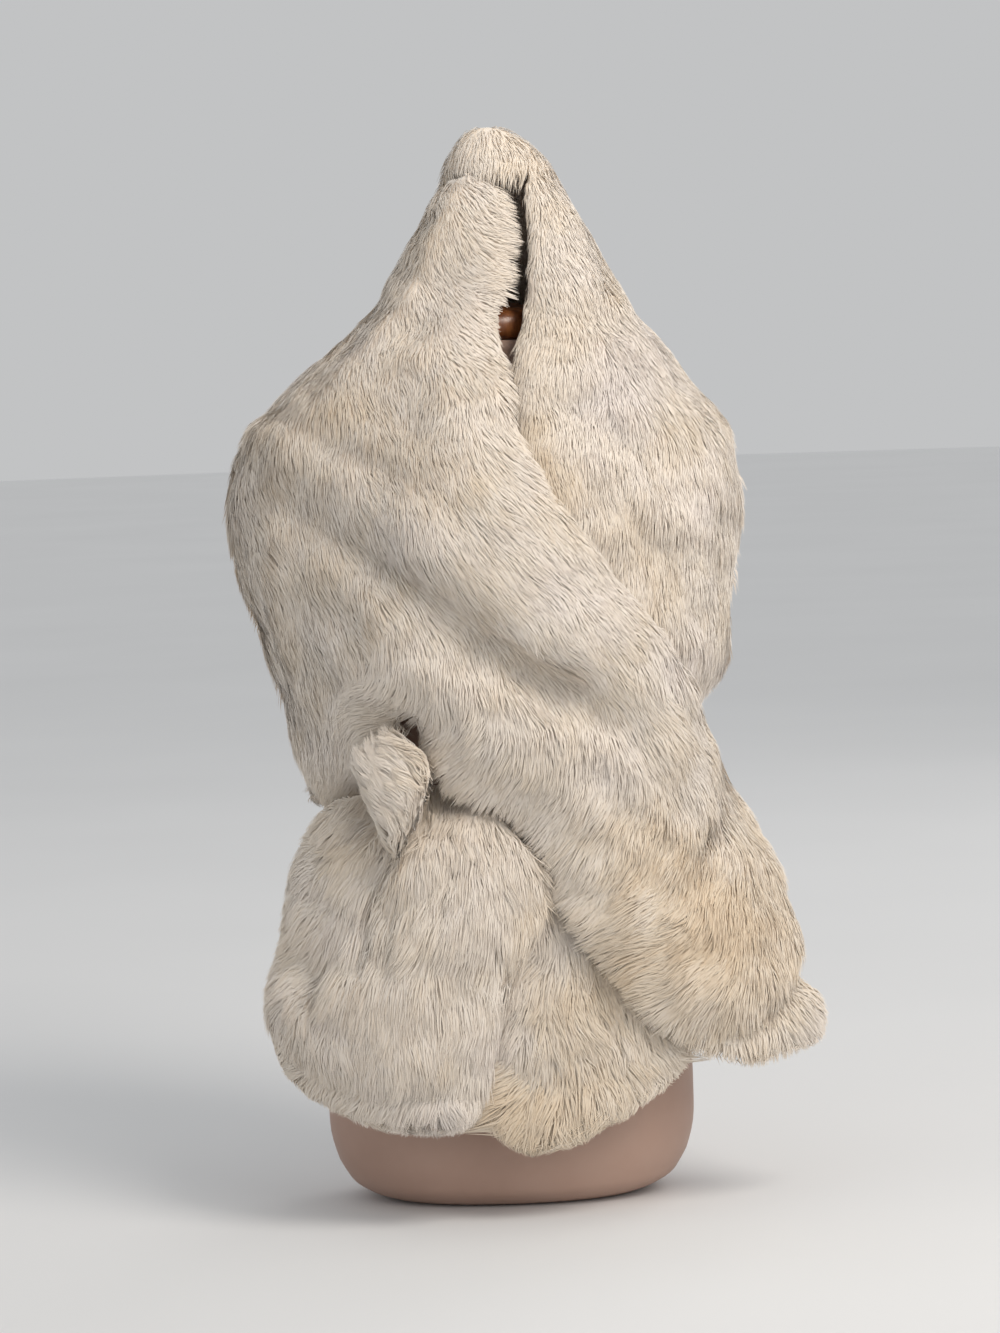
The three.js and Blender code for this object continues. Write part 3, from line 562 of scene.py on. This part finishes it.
def roots(spec, places, corners, others, random):
    """Where the strands stand: places on the skin and its normals there, most of them where they show."""
    normals = vertex_normals(places, corners)
    a, b, c = (places[corners[:, k]] for k in range(3))
    area = np.linalg.norm(np.cross(b - a, c - a), axis=1)
    middle = (a + b + c) / 3
    normal = unit(normals[corners].sum(1))
    inner = smoothstep(*INNER_FACE, (normal * outward(middle)).sum(1))
    ends = smoothstep(*ENDS_Z, middle[:, 2])
    covered = hidden(others, middle, normal)
    show = (1 - (INNER_THINNED - ENDS_THICKER * ends) * inner) * (1 - COVERED_THINNED * covered)
    share = np.cumsum(area * show)
    pick = np.searchsorted(share / share[-1], random.random(spec["strands"]))
    u, v = random.random((2, spec["strands"]))
    fold = u + v > 1
    u, v = np.where(fold, 1 - u, u), np.where(fold, 1 - v, v)
    weights = np.stack([1 - u - v, u, v], 1)[:, :, None]
    tri = corners[pick]
    return (places[tri] * weights).sum(1), unit((normals[tri] * weights).sum(1))


SWIRL = Waves(21, 90 * MM)
SMALL_SWIRL = Waves(22, 30 * MM)


def lay_at(places, normals, rows):
    """The way the pile points along the skin."""
    level = np.cross(UP, normals)
    level = unit(level + [1e-4, 0, 0])
    steep = np.cross(normals, level)
    way = from_table(places, rows)
    inside = ((normals * outward(places)).sum(1) < INSIDE)[:, None]
    way = unit(np.where(inside, [[0.0, -1.0]], way))
    turn = SWIRLS[0] * SWIRL(places) + SWIRLS[1] * SMALL_SWIRL(places)
    c, s = np.cos(turn), np.sin(turn)
    right = way[:, 0] * c - way[:, 1] * s
    rise = way[:, 0] * s + way[:, 1] * c
    return level * right[:, None] + steep * rise[:, None]


def turned(way, normal, angle):
    """Directions turned about the normals."""
    c, s = np.cos(angle)[:, None], np.sin(angle)[:, None]
    return way * c + np.cross(normal, way) * s


# The pile's length as shares of that of its stretch: the least, what is added, and the heights for that
HEM_LENGTH = {"least": 0.8, "more": 0.75, "z": (150 * MM, 70 * MM)}
TOP_LENGTH = {"least": 0.72, "more": 0.28, "z": (720 * MM, 560 * MM)}
END_LENGTH = {"least": 0.85, "more": 0.35, "middle": 200 * MM, "half": 80 * MM}
SLIT_LENGTH = {"more": 0.2, "middle": 12 * MM, "half": 20 * MM, "z": (620 * MM, 670 * MM)}
PARTED_SHORTER = 0.62


def length_at(spec, places):
    """The length of the pile: long at the tail's hem and the gathered end, and short at the shoulders."""
    x, _, z = places.T
    length = np.full(len(places), spec["length"] * MM)
    if spec["name"] == "tail":
        length *= HEM_LENGTH["least"] + HEM_LENGTH["more"] * smoothstep(*HEM_LENGTH["z"], z)
    if spec["name"] == "through":
        near = np.exp(-(((z - END_LENGTH["middle"]) / END_LENGTH["half"]) ** 2))
        length *= END_LENGTH["least"] + END_LENGTH["more"] * near
    if spec["name"] in ("over", "under", "back"):
        length *= TOP_LENGTH["least"] + TOP_LENGTH["more"] * smoothstep(*TOP_LENGTH["z"], z)
    if spec["name"] == "over":
        near = np.exp(-(((x - SLIT_LENGTH["middle"]) / SLIT_LENGTH["half"]) ** 2))
        length *= 1 + SLIT_LENGTH["more"] * near * smoothstep(*SLIT_LENGTH["z"], z)
        length *= 1 - PARTED_SHORTER * parting(places)
    return length


def nearest_of(middles, places):
    tree = KDTree(len(middles))
    for k, middle in enumerate(middles):
        tree.insert(middle, k)
    tree.balance()
    return np.array([tree.find(place)[1] for place in places])


def bend(spec, start, normal, way, length, lift):
    """The middle and the tip of strands that rise from the skin and lie down along it."""
    first, last = (math.radians(angle) for angle in spec["rise"])
    low = (first * lift)[:, None]
    high = (last * lift)[:, None]
    half = (length / 2)[:, None]
    middle = start + half * (way * np.cos(low) + normal * np.sin(low))
    tip = middle + half * (way * np.cos(high) + normal * np.sin(high))
    return middle, tip - UP * (DROOP * length)[:, None]


def reach_at(places):
    """How much further tips may reach where they cross the slits."""
    more = np.zeros(len(places))
    for x, z, radius, length in LONG_REACH:
        away = np.hypot(places[:, 0] - x * MM, places[:, 2] - z * MM)
        more = np.maximum(more, length * MM * np.exp(-((away / (radius * MM)) ** 4)))
    return more * (places[:, 1] < 0)


def kept_close(solids, points, most):
    """Points that reach more than `most` outside the solids, brought back to them."""
    kept = points.copy()
    for k, point in enumerate(points):
        place, normal, _, away = solids.find_nearest(Vector(point))
        if away > most[k] and (Vector(point) - place).dot(normal) > 0:
            kept[k] = place + (Vector(point) - place) * (most[k] / away)
    return kept


def kept_outside(skin_tree, points, least):
    """Points less than `least` above their skin, lifted to that, so that the pile follows each hollow."""
    kept = points.copy()
    for k, point in enumerate(points):
        place, normal, _, _ = skin_tree.find_nearest(Vector(point))
        if (Vector(point) - place).dot(normal) < least[k]:
            kept[k] = place + normal * least[k]
    return kept


def strands(skin_made, others, solids, seed):
    """The fur of one stretch: three points for each strand, with its facing, width, tone and shade."""
    random = np.random.default_rng(seed)
    spec = skin_made["spec"]
    start, normal = roots(spec, skin_made["places"], skin_made["corners"], others, random)
    count = len(start)
    way = lay_at(start, normal, spec["lay"])
    length = length_at(spec, start)
    chosen = random.choice(count, count // spec["clump"], replace=False)
    clump = nearest_of(start[chosen], start)
    clumps = len(chosen)
    rough = spec["rough"]
    clump_turn = random.normal(0, CLUMP_TURN * rough, clumps)
    clump_length = random.uniform(1 - CLUMP_LENGTH * rough, 1 + CLUMP_LENGTH * rough, clumps)
    clump_lift = random.uniform(1 - CLUMP_LIFT[0] * rough, 1 + CLUMP_LIFT[1] * rough, clumps)
    clump_shade = random.normal(0, CLUMP_SHADE * rough, clumps)
    own_turn = random.normal(0, OWN_TURN, count)
    own_length = random.uniform(*OWN_LENGTH, count)
    own_lift = random.uniform(*OWN_LIFT, count)
    heel = start - normal * HEEL
    way = turned(way, normal, clump_turn[clump] + own_turn)
    grown = length * clump_length[clump] * own_length
    middle, tip = bend(spec, heel, normal, way, grown, clump_lift[clump] * own_lift)
    lead_way = turned(lay_at(start[chosen], normal[chosen], spec["lay"]), normal[chosen], clump_turn)
    lead_length = length[chosen] * clump_length
    lead_middle, lead_tip = bend(spec, heel[chosen], normal[chosen], lead_way, lead_length, clump_lift)
    beside = heel - heel[chosen][clump]
    drawn = spec["drawn"] * random.uniform(*OWN_DRAWN, count)[:, None]
    tip = tip * (1 - drawn) + (lead_tip[clump] + beside * CLUMP_REACH) * drawn
    lead = lead_middle[clump] + beside * MIDDLE_REACH
    middle = middle * (1 - MIDDLE_DRAWN * drawn) + lead * MIDDLE_DRAWN * drawn
    low, high = REACH_OUT
    most = low + (high - low) * (0.5 * random.random(clumps)[clump] + 0.5 * random.random(count))
    most += reach_at(start)
    own_skin = BVHTree.FromPolygons(skin_made["places"].tolist(), skin_made["corners"].tolist())
    low, high = SKIN_CLEAR
    height = random.uniform(0, 1, count)
    tip = kept_outside(own_skin, kept_close(solids, tip, most), low + (high - low) * height)
    clear = low + (high - low) * MIDDLE_CLEAR * height
    middle = kept_outside(own_skin, kept_close(solids, middle, most * MIDDLE_OUT), clear)
    return {
        "points": np.stack([heel, middle, tip], 1),
        "normal": normal,
        "facing": unit(normal + OWN_FACING * random.normal(size=(count, 3))),
        "width": random.uniform(*OWN_WIDTH, count) * MM,
        "tone": np.clip(tone_at(start) + random.normal(0, OWN_TONE, count), *TONE_ENDS),
        "shade": clump_shade[clump] + random.normal(0, OWN_SHADE, count),
    }


def fur_mesh(name, fur):
    """Joined flat strands: two edges at the root and the middle, and one point at the tip."""
    points, facing = fur["points"], fur["facing"]
    count = len(points)
    along = unit(points[:, 2] - points[:, 0])
    across = unit(np.cross(facing, along))
    half = across * (fur["width"] / 2)[:, None]
    narrow = half * NARROWS
    root, middle, tip = points[:, 0], points[:, 1], points[:, 2]
    places = np.stack([root - half, root + half, middle - narrow, middle + narrow, tip], 1)
    shape = np.array([[0, 1, 3], [0, 3, 2], [2, 3, 4]])
    faces = (np.arange(count)[:, None, None] * 5 + shape).reshape(-1, 3)
    a, b, c = (places.reshape(-1, 3)[faces[::3, k]] for k in range(3))
    wrong = (np.cross(b - a, c - a) * fur["normal"]).sum(1) < 0
    faces = faces.reshape(count, 3, 3)
    faces[wrong] = faces[wrong][:, :, [0, 2, 1]]
    faces = faces.reshape(-1, 3)
    mesh = bpy.data.meshes.new(name)
    mesh.vertices.add(count * 5)
    mesh.vertices.foreach_set("co", places.astype(np.float32).ravel())
    mesh.loops.add(len(faces) * 3)
    mesh.loops.foreach_set("vertex_index", faces.astype(np.int32).ravel())
    mesh.polygons.add(len(faces))
    mesh.polygons.foreach_set("loop_start", np.arange(len(faces), dtype=np.int32) * 3)
    mesh.polygons.foreach_set("use_smooth", np.ones(len(faces), bool))
    mesh.update()
    side = np.array([-1, 1, -1, 1, 0]) * UV_WIDTH
    rise = np.array([0.0, 0.0, UV_MIDDLE, UV_MIDDLE, 1.0])
    u = np.clip(fur["tone"][:, None] + side, 0, 1)
    # v runs from root to tip, and the pile material paints shade at the root end
    v = np.clip(UV_ROOT + UV_RISE * rise + fur["shade"][:, None], 0, 1)
    uv = np.stack([u, v], 2).reshape(-1, 2)
    layer = mesh.uv_layers.new(name=BAKE_MAP)
    layer.data.foreach_set("uv", uv[faces.ravel()].astype(np.float32).ravel())
    flat = unit(np.cross(across, along) * -1)
    flat *= np.where((flat * fur["normal"]).sum(1) < 0, -1, 1)[:, None]
    shading = unit(fur["normal"] + flat * FLAT_SHARE)
    mesh.normals_split_custom_set_from_vertices(np.repeat(shading, 5, 0))
    return mesh


def node_material(name):
    material = bpy.data.materials.new(name)
    material.use_nodes = True
    nodes, links = material.node_tree.nodes, material.node_tree.links
    return material, nodes, links, nodes["Principled BSDF"]


def set_inputs(node, values):
    for name, value in values.items():
        node.inputs[name].default_value = value


def ramp(nodes, links, source, stops):
    """A colour ramp on a 0 to 1 source."""
    made = nodes.new("ShaderNodeValToRGB")
    elements = made.color_ramp.elements
    while len(elements) < len(stops):
        elements.new(0.5)
    for element, (position, colour) in zip(elements, stops):
        element.position = position
        element.color = (*colour, 1)
    links.new(source, made.inputs["Fac"])
    return made.outputs["Color"]


def mixed(nodes, links, share, low, high):
    mix = nodes.new("ShaderNodeMix")
    mix.data_type = "RGBA"
    for socket, value in (("Factor", share), ("A", low), ("B", high)):
        found = [s for s in mix.inputs if s.name == socket and (socket == "Factor" or s.type == "RGBA")][0]
        links.new(value, found)
    return [s for s in mix.outputs if s.type == "RGBA"][0]


# Colours by tone, from cool to warm, at the tips and the roots of the pile; the darker roots are painted
# shade, deep in the pile
TIP_STOPS = [
    (0.0, (0.86, 0.795, 0.745)), (0.45, (0.87, 0.795, 0.705)),
    (0.75, (0.84, 0.735, 0.60)), (1.0, (0.80, 0.665, 0.50)),
]
ROOT_SHADE_STOPS = [
    (0.0, (0.81, 0.735, 0.68)), (0.45, (0.82, 0.735, 0.635)),
    (0.75, (0.78, 0.665, 0.525)), (1.0, (0.74, 0.595, 0.43)),
]
# Colours by a cloudy or streaky noise
FORM_STOPS = [(0.3, (0.40, 0.262, 0.205)), (0.55, (0.455, 0.305, 0.242)), (0.8, (0.49, 0.34, 0.275))]
WOOD_STOPS = [(0.3, (0.10, 0.028, 0.008)), (0.5, (0.24, 0.078, 0.022)), (0.72, (0.40, 0.15, 0.045))]
FLOOR_STOPS = [(0.3, (0.765, 0.775, 0.785)), (0.7, (0.79, 0.80, 0.81))]
WOOD_STRETCH = (1, 1, 0.12)  # draws the grain out along the axis


def pile_material():
    """Strands: the map's u is the tone, and its v runs from the root, darkened with painted shade for the
    depth of the pile, to the bright tip.
    """
    material, nodes, links, shader = node_material("pile")
    uv = nodes.new("ShaderNodeUVMap")
    uv.uv_map = BAKE_MAP
    split = nodes.new("ShaderNodeSeparateXYZ")
    links.new(uv.outputs["UV"], split.inputs["Vector"])
    tip = ramp(nodes, links, split.outputs["X"], TIP_STOPS)
    # painted shade: the root colours are darker than the tips, standing in for shade deep in the pile
    root = ramp(nodes, links, split.outputs["X"], ROOT_SHADE_STOPS)
    colour = mixed(nodes, links, split.outputs["Y"], root, tip)
    links.new(colour, shader.inputs["Base Color"])
    set_inputs(shader, {"Roughness": 0.7, "Specular IOR Level": 0.25, "Sheen Weight": 0.35})
    set_inputs(shader, {"Sheen Roughness": 0.45, "Sheen Tint": (1.0, 0.96, 0.92, 1)})
    return material


def noise_node(nodes, links, place, scale, detail=3.0, rough=0.55):
    made = nodes.new("ShaderNodeTexNoise")
    set_inputs(made, {"Scale": scale, "Detail": detail, "Roughness": rough})
    links.new(place, made.inputs["Vector"])
    return made.outputs["Fac"]


def bump(nodes, links, shader, height, strength, distance):
    made = nodes.new("ShaderNodeBump")
    set_inputs(made, {"Strength": strength, "Distance": distance})
    links.new(height, made.inputs["Height"])
    links.new(made.outputs["Normal"], shader.inputs["Normal"])


def cloth_material():
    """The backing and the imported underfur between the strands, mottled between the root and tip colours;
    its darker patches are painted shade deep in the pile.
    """
    material, nodes, links, shader = node_material("underfur")
    tone = nodes.new("ShaderNodeAttribute")
    tone.attribute_name = "tone"
    place = nodes.new("ShaderNodeTexCoord").outputs["Object"]
    # painted shade: the darker root colours stand in for shade on the underfur between the strands
    dark = ramp(nodes, links, tone.outputs["Fac"], ROOT_SHADE_STOPS)
    light = ramp(nodes, links, tone.outputs["Fac"], TIP_STOPS)
    tufts = noise_node(nodes, links, place, scale=260, detail=4.0, rough=0.6)
    colour = mixed(nodes, links, tufts, dark, light)
    links.new(colour, shader.inputs["Base Color"])
    set_inputs(shader, {"Roughness": 0.9, "Specular IOR Level": 0.15})
    set_inputs(shader, {"Sheen Weight": 0.3, "Sheen Roughness": 0.5})
    bump(nodes, links, shader, tufts, strength=0.5, distance=2 * MM)
    return material


def form_material():
    """Matte flesh-coloured moulding with a faint mottle and fine grain."""
    material, nodes, links, shader = node_material("moulded_form")
    place = nodes.new("ShaderNodeTexCoord").outputs["Object"]
    patches = noise_node(nodes, links, place, scale=9, detail=4.0)
    links.new(ramp(nodes, links, patches, FORM_STOPS), shader.inputs["Base Color"])
    grain = noise_node(nodes, links, place, scale=420, detail=2.0)
    rough = nodes.new("ShaderNodeMapRange")
    set_inputs(rough, {"To Min": 0.42, "To Max": 0.62})
    links.new(noise_node(nodes, links, place, scale=30), rough.inputs["Value"])
    links.new(rough.outputs["Result"], shader.inputs["Roughness"])
    set_inputs(shader, {"Specular IOR Level": 0.35})
    bump(nodes, links, shader, grain, strength=0.12, distance=0.4 * MM)
    return material


def wood_material():
    """Varnished red-brown turned wood, its grain along the axis."""
    material, nodes, links, shader = node_material("turned_wood")
    place = nodes.new("ShaderNodeTexCoord").outputs["Object"]
    shrink = nodes.new("ShaderNodeMapping")
    set_inputs(shrink, {"Scale": WOOD_STRETCH})
    links.new(place, shrink.inputs["Vector"])
    grain = noise_node(nodes, links, shrink.outputs["Vector"], scale=160, detail=5.0, rough=0.65)
    links.new(ramp(nodes, links, grain, WOOD_STOPS), shader.inputs["Base Color"])
    set_inputs(shader, {"Roughness": 0.35, "Coat Weight": 0.3, "Coat Roughness": 0.2})
    bump(nodes, links, shader, grain, strength=0.15, distance=0.3 * MM)
    return material


def floor_material():
    material, nodes, links, shader = node_material("pale_floor")
    place = nodes.new("ShaderNodeTexCoord").outputs["Object"]
    cloud = noise_node(nodes, links, place, scale=1.5, detail=2.0)
    links.new(ramp(nodes, links, cloud, FLOOR_STOPS), shader.inputs["Base Color"])
    set_inputs(shader, {"Roughness": 0.9})
    return material


# The form and its turned top, in millimetres, as in the solids that they stand for: the form's height, half
# width and half depth at each ring, and the radius and height along each turned profile
FORM_RINGS = [
    (0, 88, 51), (1, 98, 59), (3, 106, 65), (10, 122, 76), (25, 136, 85), (45, 144, 90), (85, 147, 92),
    (130, 145, 91), (200, 134, 87), (270, 123, 83), (320, 120, 82), (380, 126, 87), (440, 139, 93),
    (500, 154, 96), (545, 165, 92), (575, 169, 86), (600, 163, 79), (620, 147, 72), (640, 112, 65),
    (655, 84, 60), (668, 69, 56), (686, 60, 55.2),
]
FORM_ROUNDNESS = 2.2  # 2 would be an ellipse
FORM_SIDES = 128
FOOT_Z = 25  # below it the form curves in to its base
FOOT_RINGS = 14
BODY_RINGS = 90
NECK_FLATNESS = 0.92
TURNED_SIDES = 72
TURNED_SHARP = 40  # degrees
CAP_PROFILE = [(0, 686.3), (54, 686.3), (58, 687.2), (61, 690), (62, 694), (62, 698), (61, 703), (58, 706.5),
               (54, 709), (46, 710.6), (36, 712), (27, 713.6), (20, 715.4), (17, 716), (0, 716)]
FINIAL_PROFILE = [(0, 716.3), (13, 716.3), (14, 717.5), (12, 720), (9, 723), (8, 727), (8, 731), (10, 736),
                  (13, 741), (15.3, 747), (16, 753), (15.3, 760), (13, 766), (10, 771), (8, 776), (6.4, 779),
                  (6, 781), (7, 785), (8, 788), (8.2, 791.5), (8, 795), (7, 799), (6, 802), (5, 806),
                  (4, 810), (3, 817.7), (0, 817.7)]


def spline(at, values, where):
    """A smooth curve through values, read at many places, that keeps between its neighbours' slopes."""
    at, values = np.array(at, float), np.array(values, float)
    slope = np.gradient(values, at)
    k = np.clip(np.searchsorted(at, where) - 1, 0, len(at) - 2)
    span = at[k + 1] - at[k]
    t = (where - at[k]) / span
    return (
        (2 * t**3 - 3 * t**2 + 1) * values[k]
        + (t**3 - 2 * t**2 + t) * span * slope[k]
        + (3 * t**2 - 2 * t**3) * values[k + 1]
        + (t**3 - t**2) * span * slope[k + 1]
    )


def lofted(name, rings, material):
    """A closed body through rings of the same count, flat at both ends."""
    sides = len(rings[0])
    places = [tuple(p) for ring in rings for p in ring]
    faces = [
        (j * sides + i, j * sides + (i + 1) % sides, (j + 1) * sides + (i + 1) % sides, (j + 1) * sides + i)
        for j in range(len(rings) - 1)
        for i in range(sides)
    ]
    faces += [tuple(reversed(range(sides))), tuple(range((len(rings) - 1) * sides, len(rings) * sides))]
    mesh = bpy.data.meshes.new(name)
    mesh.from_pydata(places, [], faces)
    mesh.polygons.foreach_set("use_smooth", [len(face) == 4 for face in faces])
    mesh.update()
    return new_object(name, mesh, material)


def form_piece(material):
    z_rows, halves, depths = zip(*FORM_RINGS)
    foot = np.linspace(0, FOOT_Z, FOOT_RINGS)[:-1]
    heights = np.concatenate([foot, np.linspace(FOOT_Z, FORM_RINGS[-1][0], BODY_RINGS)])
    turns = np.linspace(0, 2 * math.pi, FORM_SIDES, endpoint=False)
    power = 2 / FORM_ROUNDNESS
    c = np.sign(np.cos(turns)) * np.abs(np.cos(turns)) ** power
    s = np.sign(np.sin(turns)) * np.abs(np.sin(turns)) ** power
    half = np.minimum(spline(z_rows, halves, heights), max(halves))
    depth = np.minimum(spline(z_rows, depths, heights), max(depths))
    rings = [np.stack([h * c, d * s, np.full(len(c), z)], 1) * MM for z, h, d in zip(heights, half, depth)]
    return lofted("form_body", rings, material)


def turned_piece(name, profile, material):
    turns = np.linspace(0, 2 * math.pi, TURNED_SIDES, endpoint=False)
    rings = [
        np.stack([r * np.cos(turns), r * NECK_FLATNESS * np.sin(turns), np.full(len(turns), z)], 1) * MM
        for r, z in profile
        if r > 0
    ]
    piece = lofted(name, rings, material)
    piece.data.set_sharp_from_angle(angle=math.radians(TURNED_SHARP))
    return piece


def add_camera():
    data = bpy.data.cameras.new("camera")
    data.sensor_fit = "VERTICAL"
    data.sensor_height = SENSOR
    data.lens = SENSOR * CAMERA["distance"] / CAMERA["seen"]
    camera = linked("camera", data)
    rise = math.radians(CAMERA["elevation"])
    back = Vector((0, -math.cos(rise), math.sin(rise)))
    camera.location = Vector((CAMERA["look_x"], 0, CAMERA["look_z"])) + back * CAMERA["distance"]
    aim = (-back).to_track_quat("-Z", "Y")
    camera.rotation_mode = "QUATERNION"
    camera.rotation_quaternion = aim @ Euler((0, 0, -math.radians(CAMERA["roll"]))).to_quaternion()
    bpy.context.scene.camera = camera


# Lights, aimed at the middle of the wrap: places and sizes in metres, angles in degrees
SUN = {"from": (1.0, -1.4, 1.5), "strength": 0.45, "angle": 28, "colour": (1.0, 0.93, 0.85)}
SOFT_LIGHTS = [
    {"name": "key", "at": (0.95, -1.05, 1.85), "size": 0.9, "power": 20, "colour": (1.0, 0.93, 0.85)},
    {"name": "back", "at": (1.5, 2.2, 1.9), "size": 1.6, "power": 11, "colour": (1.0, 0.96, 0.92)},
]
LIT_MIDDLE = (0, 0, 0.45)
SKY = {"colour": (0.93, 0.94, 0.95), "strength": 0.58}
FLOOR_REACH = 14
FLOOR_SIDES = 96


def aimed(name, data, place):
    light = linked(name, data)
    light.location = place
    light.rotation_mode = "QUATERNION"
    light.rotation_quaternion = (Vector(LIT_MIDDLE) - light.location).to_track_quat("-Z", "Y")


def add_lights():
    sun = bpy.data.lights.new("sun", "SUN")
    sun.energy = SUN["strength"]
    sun.angle = math.radians(SUN["angle"])
    sun.color = SUN["colour"]
    aimed("sun", sun, SUN["from"])
    for row in SOFT_LIGHTS:
        soft = bpy.data.lights.new(row["name"], "AREA")
        soft.shape = "DISK"
        soft.size = row["size"]
        soft.energy = row["power"]
        soft.color = row["colour"]
        aimed(row["name"], soft, row["at"])


def add_world():
    world = bpy.data.worlds.new("studio")
    bpy.context.scene.world = world
    world.use_nodes = True
    background = world.node_tree.nodes["Background"]
    set_inputs(background, {"Color": (*SKY["colour"], 1), "Strength": SKY["strength"]})
    bpy.context.scene.view_settings.view_transform = "Standard"


def add_floor():
    mesh = bpy.data.meshes.new("floor")
    turns = np.linspace(0, 2 * math.pi, FLOOR_SIDES, endpoint=False)
    rim = [(FLOOR_REACH * math.cos(t), FLOOR_REACH * math.sin(t), 0) for t in turns]
    mesh.from_pydata(rim, [], [tuple(range(FLOOR_SIDES))])
    floor = new_object("floor", mesh, floor_material())


def add_form():
    moulded, wood = form_material(), wood_material()
    rows = [
        (form_piece(moulded), "form_torso", "form"),
        (turned_piece("neck_cap", CAP_PROFILE, wood), "form_neck_cap", "wood"),
        (turned_piece("finial", FINIAL_PROFILE, wood), "form_finial", "wood"),
    ]
    for piece, node, slot in rows:
        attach(piece, "root")
        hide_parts(node)


def joined_tree(skins, places):
    """One search tree over the skins, or over the solids that they lie in."""
    starts = np.cumsum([0] + [len(row[places]) for row in skins])
    all_places = np.concatenate([row[places] for row in skins])
    all_corners = np.concatenate([row["corners"] + first for row, first in zip(skins, starts)])
    return BVHTree.FromPolygons(all_places.tolist(), all_corners.tolist())


def add_stole():
    """Skins first, so that the fur knows what lies over it, then the fur of each stretch."""
    underfur, pile = cloth_material(), pile_material()
    skins = [skin(spec, underfur) for spec in STRETCHES]
    solids = joined_tree(skins, "solid_places")
    for order, made in enumerate(skins):
        spec = made["spec"]
        others = joined_tree([row for row in skins if row is not made], "places")
        fur = strands(made, others, solids, FUR_SEED + order)
        for part, first in enumerate(range(0, spec["strands"], MOST_STRANDS)):
            some = {name: values[first:first + MOST_STRANDS] for name, values in fur.items()}
            piece = new_object(f"fur_{spec['name']}_{part + 1}", fur_mesh("fur", some), pile)
            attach(piece, "root")
        cloth = made["piece"]
        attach(cloth, "root")
        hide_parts(spec["node"])


add_camera()
add_lights()
add_world()
add_floor()
add_form()
add_stole()
